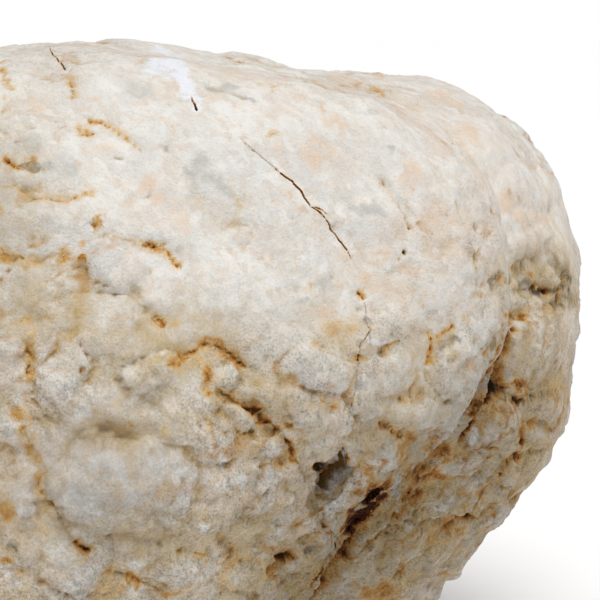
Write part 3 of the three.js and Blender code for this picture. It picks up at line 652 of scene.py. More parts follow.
# The rim of the mantle, from the crown down the right to the ground, just inside its edge.
RIM = [
    (13.8, 34.7), (19.8, 30.7), (22.2, 26.4), (30.3, 17.3), (32.9, 12.5), (34, 4.8), (32.7, -1.3),
    (32, -7), (30.6, -13.2), (26.4, -16.9), (25.2, -20.3), (20.9, -21.8), (17, -25.6), (11.9, -29.2),
    (8.2, -34.4), (5.8, -41.6), (0.9, -46.2),
]

# The middle line of the model's cleft, down the same rim, and a point well inside the mantle.
CLEFT = [
    (41, -10, 101), (50, -15, 92), (56, -15, 80), (55, -18, 69), (52, -22, 58.5), (45, -26, 51),
    (37, -27, 44.5), (31, -27, 38), (25, -27, 29), (16, -24, 14),
]
CLEFT_STEPS = 24  # places from each of its points to the next
MANTLE_HEART = (-5.0, -22.0, 66.0)
LAMINA_RUN = (-0.62, -0.14, -0.77)  # the way the layers under the rim run
FLOW = (0.75, -0.2, -0.6)  # the way the crust's lumps are drawn out

# Where the crust is smoother than elsewhere: where, and how wide.
CALM = [
    (-17, 28, 17), (-6, 16, 17), (6, 22, 14), (15, 27, 13), (0, 5, 12), (-16, 2, 9), (-30, 22, 8),
    (28, 24, 14), (-27, -20, 9), (40, 14, 10), (24.5, -44.5, 6),
]


# ------------------------------------------------------------
# Marks thrown onto the stone.

def wander(points, seed, stir=1.0):
    """A line's points, close together and strayed a little, and how far along each is."""
    corners = np.array(points)
    run = np.concatenate([[0], np.cumsum(np.linalg.norm(np.diff(corners, axis=0), axis=1))])
    at = np.linspace(0, run[-1], max(5, int(run[-1] / LINE_STEP)))
    line = np.stack([np.interp(at, run, corners[:, n]) for n in range(2)], axis=1)
    place = np.column_stack([line, np.full(len(at), seed * 7.0)])
    stray = [0.45 * waves(place, 2.6, 900 + n) + 0.1 * waves(place, 0.9, 910 + n) for n in range(2)]
    held = stir * np.sin(np.pi * np.minimum(at / run[-1], 1 - at / run[-1]))
    return line + held[:, None] * np.stack(stray, axis=1), at / run[-1]


class Trace:
    """A line that lies on the stone."""

    def __init__(self, tree, spots, shares):
        found = view.throw_all(tree, [(*spot, share) for spot, share in zip(spots, shares)])
        self.points = np.array([point for point, _ in found])
        self.shares = np.array([share for _, share in found])

    def near(self, points, reach):
        """The points within reach of the line, how far off they are, and how far along."""
        low, high = self.points.min(axis=0) - reach, self.points.max(axis=0) + reach
        index = np.flatnonzero(np.all((points > low) & (points < high), axis=1))
        start, step = self.points[:-1], np.diff(self.points, axis=0)
        long = np.maximum((step**2).sum(axis=1), 1e-6)
        away = np.empty(len(index))
        share = np.empty(len(index))
        for first in range(0, len(index), AT_A_TIME):
            some = slice(first, first + AT_A_TIME)
            arm = points[index[some]][:, None] - start
            part = np.clip((arm * step).sum(axis=2) / long, 0, 1)
            far = np.linalg.norm(arm - part[:, :, None] * step, axis=2)
            best = far.argmin(axis=1)
            row = np.arange(len(best))
            away[some] = far[row, best]
            share[some] = self.shares[best] + np.diff(self.shares)[best] * part[row, best]
        close = away < reach
        return index[close], away[close], share[close]


class Marks:
    """The lines, the pits, the pocket's outline and the calm patches, as they lie on the stone."""

    def __init__(self, tree):
        self.lines = []
        for number, (kind, start, end, depth, points) in enumerate(LINES):
            trace = Trace(tree, *wander(points, number, 0.15 if kind in SHARP else 0.5))
            if len(trace.points) > 2:
                self.lines.append((kind, start, end, depth, trace))
        self.pocket = view.throw_all(tree, POCKET)
        self.calm = view.throw_all(tree, CALM)
        self.pits = view.throw_all(tree, PITS)

    def edge_wanted(self, points):
        """How fine the mesh has to be at each point for the marks there."""
        wanted = np.full(len(points), EDGE_UNSEEN)
        for kind, start, end, _, trace in self.lines:
            index, far, _ = trace.near(points, 3.0)
            beside = np.maximum(far - max(start, end) - 0.1, 0)
            finest = EDGE_GAP if kind in SHARP else EDGE_MARK
            wanted[index] = np.minimum(wanted[index], finest + EDGE_GROWTH * beside)
        rounds = [(place, radius) for place, radius, _ in self.pits]
        rounds += [(place, 1.5) for (place,) in self.pocket]
        for place, radius in rounds:
            beside = np.maximum(np.linalg.norm(points - place, axis=1) - radius, 0)
            wanted = np.minimum(wanted, EDGE_MARK + 0.5 * beside)
        return wanted

    def calmness(self, points):
        """How smooth the crust is, from 0 to 1."""
        calm = np.zeros(len(points))
        ragged = drift(points, 9.0, 4.0, 51)
        for place, reach in self.calm:
            far = np.linalg.norm(ragged - place, axis=1)
            calm = np.maximum(calm, 1 - rise(far, 0.6 * reach, 1.25 * reach))
        return calm

    def wear(self, points):
        """How deep the marks are at each point, and how much of each tint they leave there."""
        depth = np.zeros(len(points))
        fold = np.zeros(len(points))
        tints = {name: np.zeros(len(points)) for name in TINTS}
        rough = np.maximum(1 + 0.45 * waves(points, 1.9, 41) + 0.2 * waves(points, 0.8, 42), 0.4)
        fade = 0.8 * waves(points, 3.4, 43) + 0.6 * waves(points, 1.4, 44)
        for kind, start, end, deep, trace in self.lines:
            index, away, share = trace.near(points, MARK_REACH)
            half = start + (end - start) * share
            ends = rise(share, -0.01, 0.12) * (1 - rise(share, 0.88, 1.01))
            if kind in SHARP:
                groove = np.clip(1 - away / half, 0, 1) ** 0.6
                spread = 1.1 * dip(away, 0.7 * half)
            else:
                half *= CREASE_WIDTH
                across = away / rough[index]
                lift(fold, index, FOLD_DEPTH * deep * ends * dip(away, FOLD_WIDTH))
                ends *= np.clip(0.75 + fade[index], 0.3, 1.1)
                groove = 0.6 * np.clip(1 - across / (0.7 * half), 0, 1)
                spread = 0.55 * (dip(across, 0.7 * half) + dip(across, 0.6 + 1.9 * half))
            lift(depth, index, deep * ends * groove)
            for name, amount in COLOURING[kind].items():
                lift(tints[name], index, amount * ends * spread)
        for place, radius, deep in self.pits:
            away = np.linalg.norm(points - place, axis=1)
            index = np.flatnonzero(away < 3 * radius)
            hollow = dip(away[index] / rough[index], 0.7 * radius)
            lift(depth, index, deep * hollow)
            lift(tints["iron"], index, 1.3 * hollow)
            # Deep pits are painted dark inside: painted shadow.
            lift(tints["dark"], index, hollow * min(1, deep / 2.4))
        return depth + fold, tints


def oval(place, x, y, long, short, turn=0):
    """How far out from an oval's middle each place on the plate is: 1 along the oval."""
    turn = math.radians(turn)
    away = place - (x, y)
    along = away @ (math.cos(turn), math.sin(turn)) / long
    across = away @ (-math.sin(turn), math.cos(turn)) / short
    return along**2 + across**2


def shaped_lumps(points, past):
    """How far the lumps of the front stand out, less their usual height, and how near each point
    is to the crease round one."""
    place = view.plate(drift(drift(points, 7.0, 2.0, 21), 2.5, 0.6, 24))
    total = np.zeros(len(points))
    crease = np.zeros(len(points))
    beyond = rise(past, -0.5, 0.5)
    for table, share in ((MANTLE_LUMPS, 1 - beyond), (BODY_LUMPS, beyond)):
        bulge = np.zeros(len(points))
        hollow = np.zeros(len(points))
        nearest = np.full(len(points), 9.0)
        for x, y, long, short, height, *turn in table:
            out = oval(place, x, y, long, short, *turn)
            form = SHAPED_RISE * height * np.clip(1 - out, 0, 1) ** 0.85
            bulge = np.maximum(bulge, form)
            hollow = np.minimum(hollow, form)
            if height > CREASED_ABOVE:
                nearest = np.minimum(nearest, out)
        total += share * (bulge + hollow - 0.5)
        crease += share * dip(bulge, 0.3) * rise(nearest, 1.35, 1.0)
    return total, crease * rise(waves(points, 6.0, 27), -0.2, 0.3)


def stains(points, shown, past):
    """How much of each stain and of each patch of painted shade and highlight there is at each point.
    The painted shadow lies only beyond the mantle.
    """
    place = view.plate(drift(drift(points, 3.0, 0.9, 71), 1.0, 0.4, 74))
    found = {name: np.zeros(len(points)) for name in TINTS}
    seen = rise(shown, 0, 0.3)
    for kind, table in STAINS.items():
        name, most = IRON.get(kind, (kind, 1.0))
        for x, y, long, short, strength, *turn in table:
            out = oval(place, x, y, long, short, *turn)
            found[name] = np.maximum(found[name], most * strength * seen * np.exp(-0.75 * out**1.5))
    found["dark"] *= rise(past, 0.0, 0.6)
    return found


def from_line(place, start, step):
    """How far each place on the plate is from a line made of the given steps."""
    arm = place[:, None] - start
    part = np.clip((arm * step).sum(axis=2) / (step**2).sum(axis=1), 0, 1)
    return np.linalg.norm(arm - part[:, :, None] * step, axis=2).min(axis=1)


def under_rim(points, past):
    """How near each point beyond the mantle is to its rim, as the camera sees them. Points far
    behind the rim are left out."""
    place = view.plate(drift(points, 3.0, 0.7, 77))
    corners = np.array(RIM)
    index = np.flatnonzero((past > 0) & (np.abs(place).max(axis=1) < view.half + PLATE_EDGE))
    away = from_line(place[index], corners[:-1], np.diff(corners, axis=0))
    up = place[index, 1]
    wide = (0.9 + 1.5 * rise(up, 4, -16)) * (1 + 0.5 * waves(points[index], 4.0, 78))
    behind = 1 - rise(past[index], 7.0, 11.0)
    near = np.zeros(len(points))
    near[index] = (1 - rise(away / wide, 0.4, 1.5)) * rise(up, 9, -9) * behind
    return near


def pocket(points, facing):
    """How deep the broken pocket is at each point."""
    outline = np.array(POCKET)
    middle = outline.mean(axis=0)
    place = view.plate(points)
    index = np.flatnonzero(facing & (np.linalg.norm(place - middle, axis=1) < POCKET_REACH))
    spot = place[index]
    x, y = spot[:, None, 0], spot[:, None, 1]
    step = np.roll(outline, -1, axis=0) - outline
    start_x, start_y = outline.T
    step_x, step_y = step.T
    above = (start_y > y) != (start_y + step_y > y)
    cross = start_x + (y - start_y) / step_y * step_x
    inside = (above & (x < cross)).sum(axis=1) % 2 == 1
    floor_share = np.clip(0.55 - ((spot - middle) @ (0.75, -0.66)) / 5.0, 0.12, 1)
    sunk = POCKET_DEPTH * floor_share * rise(from_line(spot, outline, step), 0, 0.6)
    depth = np.zeros(len(points))
    depth[index] = np.where(inside, sunk, 0)
    return depth


def sink_pocket(crust):
    """Sinks the pocket, its deep side driven in under its upper left edge."""
    depth = pocket(crust.points, faces_camera(crust, 0.0))
    under = 0.5 * (view.up - view.right)
    crust.points = crust.points + depth[:, None] * (under - 0.8 * crust.normals())
    eased = rise(depth, 0.2, 0.8)[:, None]
    crust.points += eased * (crust.blur(crust.points, 3) - crust.points)
    crust.traits["pocket"] = np.clip(depth / POCKET_DEPTH, 0, 1)


def past_cleft(points):
    """How far past the cleft each point is, negative on the mantle's side of it, and how far down
    the cleft its nearest place is, from 0 to 1."""
    corners = np.array(CLEFT, dtype=float)
    line = np.concatenate([np.linspace(a, b, CLEFT_STEPS) for a, b in zip(corners, corners[1:])])
    away = np.full(len(points), np.inf)
    nearest = np.zeros(len(points), dtype=int)
    for number, place in enumerate(line):
        far = ((points - place) ** 2).sum(axis=1)
        nearest = np.where(far < away, number, nearest)
        away = np.minimum(away, far)
    beside = line[nearest]
    side = ((points - beside) * (MANTLE_HEART - beside)).sum(axis=1)
    return np.where(side < 0, 1, -1) * np.sqrt(away), nearest / len(line)


# ------------------------------------------------------------
# The crust's form, coarse to fine. Each function gives how far the surface moves out, in mm.

def stretched(points, along, times):
    """The points squeezed along a direction, so that noise read at them is drawn out that way."""
    run = np.array(along) / np.linalg.norm(along)
    return points - np.outer(points @ run, run) * (1 - 1 / times)


def lumps(points, size, seed):
    """Rounded swellings with creases between them: how high, and how near a crease."""
    at = drift(stretched(points, FLOW, 1.5), size * 0.9, size * 0.45, seed)
    at = drift(at, size * 0.3, size * 0.08, seed + 3)
    near, next_near, tag, _ = cells(at, size, seed + 7)
    gap = next_near - near
    shown = rise(waves(points, size * 1.2, seed + 9), -0.35, 0.15)
    bulge = rise(gap, 0, 0.5) * (0.3 + 0.7 * shown)
    return level(bulge * (0.6 + 0.8 * tag)), dip(gap, 0.055) * shown


def chips(points, size, seed):
    """Facets where flakes have come away, each with its own height and tilt."""
    at = drift(points, size * 0.8, size * 0.28, seed)
    _, _, tag, arm = cells(at, size, seed + 11)
    own = np.full_like(arm, 7.7) + tag[:, None] * 91
    lean = np.stack([waves(own, 1.0, seed + n) for n in range(3)], axis=1)
    return (tag - 0.5) + 1.6 * (arm * lean).sum(axis=1)


def creases(points, size, seed):
    """Thin broken lines, 1 along their middles and 0 elsewhere."""
    at = drift(points, size * 0.5, size * 0.22, seed)
    line = dip(fractal(at, size, seed + 5, 4, 0.55), 0.045)
    return line * rise(waves(points, size * 1.3, seed + 6), 0.05, 0.35)


def laminae(points):
    """Thin layers, edge on, under the rim of the mantle."""
    at = stretched(drift(points, 7.0, 1.0, 61), LAMINA_RUN, 7.0)
    return fractal(at, 2.2, 63, 3, 0.6)


def grit(points):
    """The crumbly grain of the crust."""
    return 0.24 * fractal(points, 2.8, 71, 3, 0.6) + 0.1 * np.abs(waves(points, 1.3, 75))


def holes(points):
    """Small holes where crystals have dropped out, 0 to 1."""
    near, _, tag, _ = cells(points, 2.4, 81)
    return rise(0.34 - near, 0, 0.16) * rise(tag, 0.86, 0.9)


# ------------------------------------------------------------
# The stone.

def turned(crust):
    """How much each point faces the camera: 1 straight at it, 0 at the outline."""
    to_eye = view.eye - crust.points
    to_eye /= np.linalg.norm(to_eye, axis=1, keepdims=True)
    return (crust.normals() * to_eye).sum(axis=1)


def faces_camera(crust, lean=-0.3):
    """Which points the camera could see, apart from what stands in front of them."""
    return (turned(crust) > lean) & (view.off_middle(crust.points) < view.half + PLATE_EDGE)


def sight(crust):
    """How well the camera sees each point, from 0 to 1."""
    past_edge = rise(view.off_middle(crust.points), view.half, view.half + 8)
    return rise(turned(crust), 0.05, 0.4) * (1 - past_edge)


def base_edges(crust):
    """The edge length wanted at each point where there are no marks."""
    return np.where(faces_camera(crust), EDGE_SEEN, EDGE_UNSEEN)


def shape_large_forms(crust):
    """The photo's large forms where the camera sees the stone, and others like them elsewhere."""
    low = rise(crust.points[:, 2], LOW_STARTS, LOW_FULL)
    shown = sight(crust)
    past, _ = past_cleft(crust.points)
    form, valley = lumps(crust.points, FORM_SIZE, 101)
    swell = fractal(crust.points, SWELL_SIZE, 31, 3, 0.5)
    calm = fading(low, 0.35) * (1 - shown)
    form = level((FORM_RISE * form + SWELL_RISE * swell) * calm)
    shaped, beside = shaped_lumps(crust.points, past)
    crust.push(form + shown * (shaped - 0.35 * beside))
    crust.traits = {"valley": valley * calm, "low": low, "shown": shown, "beside": shown * beside}


def refine_for_marks(crust, marks, rim):
    """Refines the mesh along the rim and wherever there are marks."""
    for _ in range(4):
        wanted = base_edges(crust)
        index, away, share = rim.near(crust.points, 5.0)
        on_crown = share < 0.4  # where the rim has faded, and needs no fine mesh
        beside = EDGE_RIM + 0.3 * np.maximum(away - 1.5, 0) + 9.0 * on_crown
        wanted[index] = np.minimum(wanted[index], beside)
        crust.refine(np.minimum(wanted, marks.edge_wanted(crust.points)))


def small_forms(at, rough, shown, faced, layered):
    """How far the small forms stand out at each point, and how near each is to a crease. They are
    lower at the outline that the camera sees, where they would stand out too much."""
    lump, lump_crease = lumps(at, LUMP_SIZE, 201)
    knot, knot_crease = lumps(at, KNOT_SIZE, 221)
    slab = chips(stretched(at, FLOW, 1.5), SLAB_SIZE, 261)
    chip = chips(at, CHIP_SIZE, 241)
    flake = chips(stretched(at, FLOW, 1.6), FLAKE_SIZE, 251)
    crack = creases(at, CREASE_SIZE, 401) * fading(rough, 0.3)
    fine_crack = creases(at, FINE_CREASE_SIZE, 431) * rough
    outline = rise(abs(faced), 0, 0.4)
    coarse = fading(outline, 0.25)
    fine = fading(outline, 0.4) * fading(rise(faced, -0.35, -0.15), 0.4)
    height = LUMP_RISE * lump * fading(rough, 0.2) * (1 - 0.55 * shown)
    height += SLAB_RISE * slab * fading(rough, 0.1) * coarse
    height += CHIP_RISE * chip * fading(rough, 0.25) * coarse
    height += KNOT_RISE * knot * fading(rough, 0.05) * fine
    height += FLAKE_RISE * flake * fading(rough, 0.3) * fine
    height += GRIT_RISE * grit(at) * fading(rough, 0.4) * fine
    height += LAMINA_RISE * laminae(at) * layered
    height -= CREASE_DEPTH * crack + FINE_CREASE_DEPTH * fine_crack + HOLE_DEPTH * holes(at)
    crease = np.maximum(lump_crease * fading(rough, 0.1), 0.8 * knot_crease * rough)
    return height, np.maximum(crease, np.maximum(crack, 0.7 * fine_crack))


def weathered_crust():
    """The stone's fine mesh, and what is left on its points for the material to read."""
    crust = rough_copy("geode")
    for _ in range(2):
        crust.refine(base_edges(crust))
    shape_large_forms(crust)
    tree = crust.tree()
    marks = Marks(tree)
    rim = Trace(tree, *wander(RIM, 99))
    refine_for_marks(crust, marks, rim)

    # what lies where, read before the small forms move the points
    at = crust.points.copy()
    low, shown = crust.traits["low"], crust.traits["shown"]
    past, down = past_cleft(at)
    faced = turned(crust)
    worn, tints = marks.wear(at)
    for name, amount in stains(at, shown, past).items():
        tints[name] = np.maximum(tints[name], amount)
    edge = np.zeros(len(at))
    index, away, share = rim.near(at, 6.0)
    edge[index] = dip(away, 3.0) * rise(share, 0.3, 0.45)
    lip = under_rim(at, past)
    close = dip(past, 16.0) * rise(down, 0.28, 0.45)
    layered = dip(past + 1.0, 7.0) * rise(down, 0.5, 0.62)
    rough = fading(rise(waves(at, 24.0, 301) + 0.5 * waves(at, 9.0, 302), -0.5, 0.4), 0.3)
    rough = np.maximum(rough * fading(low, 0.45), 0.8 * close * shown)
    rough *= 1 - 0.85 * marks.calmness(at)

    # the pocket and the small forms
    sink_pocket(crust)
    height, crease = small_forms(at, rough, shown, faced, layered)
    height *= 1 - 0.5 * np.maximum(edge, rise(crust.traits["pocket"], 0.02, 0.2))
    height = np.minimum(height, EASED_ABOVE + EASED_TO * (height - EASED_ABOVE))
    crust.push(level(height) - np.maximum(worn, LIP_DEPTH * lip))

    crease = np.maximum(crease, 0.4 * crust.traits["valley"]) * (1 - 0.4 * shown * (1 - close))
    crease = np.maximum(crease, 0.5 * crust.traits["beside"] * fading(rough, 0.2))
    smooth = crust.blur(crust.points, 6)
    broad = crust.blur(smooth, 30)
    normals = crust.normals()
    tints["iron"] *= 0.8 + 0.4 * close
    crust.traits = {
        **tints,
        "low": low,
        "pocket": crust.traits["pocket"],
        "cavity": ((smooth - crust.points) * normals).sum(axis=1) / CAVITY_DEPTH,
        "dell": ((broad - smooth) * normals).sum(axis=1) / DELL_DEPTH,
        "crease": crease,
        "halo": crust.blur(crease, 14),
        "rimward": close,
        "rough": rough,
        "layered": layered,
        "shelter": crust.shelter(SHELTER_REACH),
        "under": lip,
    }
    return crust


def add_object(name, data):
    """A new object in the scene."""
    thing = bpy.data.objects.new(name, data)
    bpy.context.scene.collection.objects.link(thing)
    return thing


def stone_piece(crust):
    """The object that the crust's mesh goes into."""
    mesh = bpy.data.meshes.new("geode_crust")
    mesh.from_pydata((crust.points * MM).tolist(), [], crust.faces.tolist())
    for name, values in crust.traits.items():
        layer = mesh.attributes.new(name, "FLOAT", "POINT")
        layer.data.foreach_set("value", np.ascontiguousarray(values, dtype=np.float32))
    mesh.polygons.foreach_set("use_smooth", np.ones(len(mesh.polygons), dtype=bool))
    mesh.update()
    return add_object("geode_crust", mesh)


# ------------------------------------------------------------
# Materials.

# How far a seed moves the place that each kind of noise is read at.
NOISE_SHIFT = (37.1, 11.3, 5.7)
WARP_SHIFT = (17.1, 9.3, 4.7)
CELL_SHIFT = (13.3, 7.9, 3.1)
MIDDLE = (0.5, 0.5, 0.5)


class Paint:
    """A material under construction. Most methods add a node and give back its output; lay() puts
    a tone over the colour so far."""

    def __init__(self, name):
        self.material = bpy.data.materials.new(name)
        self.material.use_nodes = True
        self.nodes = self.material.node_tree.nodes
        self.links = self.material.node_tree.links
        self.shader = self.nodes["Principled BSDF"]
        self.place = self.vector("SCALE", self.add("TexCoord").outputs["Object"], 1 / MM)
        self.colour = None

    def put(self, socket, value):
        """Fills a socket: links it to another's output, or sets it to a value."""
        if isinstance(value, bpy.types.NodeSocket):
            self.links.new(value, socket)
        elif isinstance(value, tuple) and socket.type == "RGBA":
            socket.default_value = (*value, 1.0)
        else:
            socket.default_value = value

    def add(self, kind, inputs=None, **settings):
        """A new node, its settings made and its inputs filled by name or number."""
        node = self.nodes.new("ShaderNode" + kind)
        for name, value in settings.items():
            setattr(node, name, value)
        for name, value in (inputs or {}).items():
            self.put(node.inputs[name], value)
        return node

    def vector(self, operation, first, second):
        """A sum or difference of two vectors, or a vector scaled by a number."""
        other = "Scale" if operation == "SCALE" else 1
        return self.add("VectorMath", {0: first, other: second}, operation=operation).outputs[0]

    def dot(self, first, second):
        node = self.add("VectorMath", {0: first, 1: second}, operation="DOT_PRODUCT")
        return node.outputs["Value"]

    def chain(self, operation, values):
        """One operation on a value, the next, and so on."""
        total, *others = values
        for value in others:
            total = self.add("Math", {0: total, 1: value}, operation=operation).outputs[0]
        return total

    def times(self, *values):
        return self.chain("MULTIPLY", values)

    def most(self, *values):
        return self.chain("MAXIMUM", values)

    def plus(self, *parts):
        """The sum of the parts. A pair is a value and its weight."""
        parts = [self.times(*part) if isinstance(part, tuple) else part for part in parts]
        return self.chain("ADD", parts)

    def trait(self, name):
        """What the crust's points carry under a name."""
        return self.add("Attribute", attribute_name=name).outputs["Fac"]

    def step(self, value, low, high, bottom=0.0, top=1.0):
        """bottom at low, top at high, and a smooth change between them."""
        inputs = dict(enumerate((value, low, high, bottom, top)))
        return self.add("MapRange", inputs, interpolation_type="SMOOTHSTEP").outputs[0]

    def mix(self, share, first, second, blend="MIX"):
        inputs = {0: share, 6: first, 7: second}
        return self.add("Mix", inputs, data_type="RGBA", blend_type=blend).outputs[2]

    def lay(self, tone, *shares):
        """Puts a tone over the colour so far, by the product of the shares."""
        self.colour = self.mix(self.times(*shares), self.colour, tone)

    def shifted(self, place, seed, shift):
        """The place moved by the seed, so that each seed reads other noise."""
        return self.vector("ADD", place or self.place, tuple(seed * part for part in shift))

    def noise(self, size, seed, detail=4.0, roughness=0.55, place=None):
        """Noise from 0 to 1 with lumps about size millimetres across."""
        inputs = {"Vector": self.shifted(place, seed, NOISE_SHIFT), "Scale": 1 / size,
                  "Detail": detail, "Roughness": roughness}
        return self.add("TexNoise", inputs).outputs[0]

    def patches(self, size, seed, low, high, detail=5.0, roughness=0.7):
        """Patches of noise: 0 where it is at low, 1 where it is at high."""
        return self.step(self.noise(size, seed, detail, roughness), low, high)

    def warped(self, size, reach, seed, place=None):
        """The place, moved about by up to reach."""
        where = self.shifted(place, seed, WARP_SHIFT)
        node = self.add("TexNoise", {"Vector": where, "Scale": 1 / size, "Detail": 2.0})
        moved = self.vector("SUBTRACT", node.outputs["Color"], MIDDLE)
        return self.vector("ADD", place or self.place, self.vector("SCALE", moved, 2 * reach))

    def stretched(self, along, times):
        """The place squeezed along a direction, so that noise read there is drawn out that way."""
        run = tuple(Vector(along).normalized())
        part = self.times(self.dot(self.place, run), 1 / times - 1)
        return self.vector("ADD", self.place, self.vector("SCALE", run, part))

    def cells(self, size, seed, place, **settings):
        """Scattered seeds about size millimetres apart, and where they are read at."""
        where = self.vector("SCALE", self.shifted(place, seed, CELL_SHIFT), 1 / size)
        return self.add("TexVoronoi", {"Vector": where, "Scale": 1.0}, **settings), where

    def flakes(self, size, seed, place):
        """Facets about size millimetres across: their height, each one tilted, and a tone from 0
        to 1 for each."""
        seeds, where = self.cells(size, seed, place)
        lean = self.vector("SUBTRACT", seeds.outputs["Color"], MIDDLE)
        away = self.vector("SUBTRACT", where, seeds.outputs["Position"])
        parts = self.add("SeparateXYZ", {0: seeds.outputs["Color"]})
        return self.plus((parts.outputs[0], 0.5), self.dot(lean, away)), parts.outputs[1]

    def fissures(self, size, seed, width, place):
        """A net of fine cracks about size millimetres apart: 1 along them, 0 between them."""
        net, _ = self.cells(size, seed, place, feature="DISTANCE_TO_EDGE")
        return self.step(net.outputs["Distance"], 0.0, width / size, 1.0, 0.0)

    def bump(self, height, depth, strength, under):
        """Fine relief over what is under it, depth millimetres from 0 to 1 of the height."""
        inputs = {"Strength": strength, "Distance": depth * MM, "Height": height}
        if under is not None:
            inputs["Normal"] = under
        return self.add("Bump", inputs).outputs[0]


CREAM = (0.725, 0.68, 0.62)
WHITE = (0.79, 0.775, 0.74)
GREY = (0.51, 0.50, 0.465)
PALE = (0.72, 0.73, 0.74)
PEACH = (0.73, 0.575, 0.445)
SAND = (0.55, 0.41, 0.205)
MURK = (0.33, 0.29, 0.21)
TAN = (0.67, 0.475, 0.235)
OCHRE = (0.56, 0.265, 0.05)
OLIVE = (0.10, 0.066, 0.025)
RUST = (0.34, 0.11, 0.018)
EARTH = (0.16, 0.045, 0.009)
UMBER = (0.065, 0.010, 0.002)
GRIME_AND_SHADE = (0.29, 0.205, 0.095)
POCKET_BROWN = (0.22, 0.12, 0.03)
FROST = (0.68, 0.61, 0.51)
PAINTED_SHADOW_TONE = (0.026, 0.016, 0.010)
CHALK = (0.80, 0.79, 0.77)
ICE = (0.80, 0.82, 0.87)
# From little iron to much: where a tone begins, where it is full, how much of it there is then.
RUSTING = [
    (0.06, 0.35, 0.85, TAN), (0.25, 0.6, 0.85, OCHRE), (0.55, 0.95, 0.85, RUST),
    (0.85, 1.2, 0.95, EARTH), (1.15, 1.6, 0.95, UMBER),
]


def clean_stone(p, tone, small_tone):
    """Cream, white and peach, grey where it is more glassy, sandy and darker towards the ground, the
    darkening partly painted shade.
    """
    low = p.trait("low")
    patch = p.noise(5.5, 3, 5.0, 0.6)
    cloud = p.noise(21.0, 4, 4.0, 0.6)
    p.colour = CREAM
    p.lay(WHITE, p.step(p.plus((patch, 0.7), (tone, 0.18), (small_tone, 0.12)), 0.38, 0.6))
    p.lay(PEACH, p.patches(1.9, 11, 0.5, 0.66, 4.0), 0.5)
    blot = p.plus((p.noise(3.2, 6, 5.0, 0.7), 0.8), (tone, 0.2))
    glassy = p.times(p.step(blot, 0.46, 0.62), p.step(cloud, 0.4, 0.58, 0.3, 0.75))
    p.lay(GREY, glassy, p.step(low, 0.0, 1.0, 0.45, 1.0))
    p.lay(MURK, p.patches(7.0, 13, 0.48, 0.66, 5.0, 0.65), low, 0.5)
    warm = p.patches(26.0, 5, 0.45, 0.6, 3.0, 0.55)
    p.lay(PEACH, warm, p.step(patch, 0.35, 0.65, 0.9, 0.15), 0.5)
    # Sand towards the ground and by the rim: partly dirt, partly painted shade on the lower half.
    dirt_and_shade = p.times(p.plus((low, 0.6), (p.trait("rimward"), 0.25)), p.step(cloud, 0.7, 0.35, 0.3, 1.0))
    sunken = p.plus((p.trait("dell"), 0.22), (patch, -1.6), 0.8)
    p.lay(SAND, dirt_and_shade, p.step(sunken, -0.25, 0.35, 0.0, 1.1))
    p.lay(PALE, p.step(sunken, -0.1, -0.5), low, 0.6)
    p.lay(TAN, p.patches(4.6, 18, 0.5, 0.66), low, 0.65)
    p.lay(CHALK, p.patches(2.4, 19, 0.56, 0.7), low, 0.7)


def stained(p, grain, crumbs):
    """Soft stains that gather round creases, and thin brown lines along them."""
    cavity = p.trait("cavity")
    gather = p.plus((p.trait("halo"), 1.8), (cavity, 0.25), (p.trait("dell"), 0.5), (grain, 0.8), -0.48)
    p.lay(SAND, p.step(gather, 0.0, 0.6), p.step(p.noise(30.0, 5, 3.0), 0.35, 0.6, 0.35, 0.85))
    rust = p.times(p.patches(5.0, 8, 0.46, 0.68, 6.0, 0.72), p.step(gather, -0.02, 0.5))
    p.lay(OCHRE, rust, p.step(crumbs, 0.3, 0.6, 0.6, 1.0), 0.7)
    brown = p.times(p.trait("crease"), p.patches(4.0, 9, 0.34, 0.52))
    p.lay(OCHRE, p.step(brown, 0.06, 0.5), 0.85)
    p.lay(EARTH, p.step(brown, 0.35, 0.8), 0.85)
    deep = p.times(p.step(cavity, 1.4, 3.2), p.step(grain, 0.35, 0.6))
    p.lay(EARTH, deep, p.step(p.trait("dark"), 0.0, 0.1, 1.0, 0.0), 0.5)


def layered_stone(p, layers):
    """The edges of the layers under the rim, lined with ochre and brown."""
    layered = p.trait("layered")
    patchy = p.patches(6.0, 12, 0.42, 0.55, 3.0, 0.55)
    p.lay(OCHRE, p.step(layers, 0.47, 0.36), layered, patchy, 0.8)
    p.lay(EARTH, p.step(layers, 0.4, 0.3), layered, 0.7)


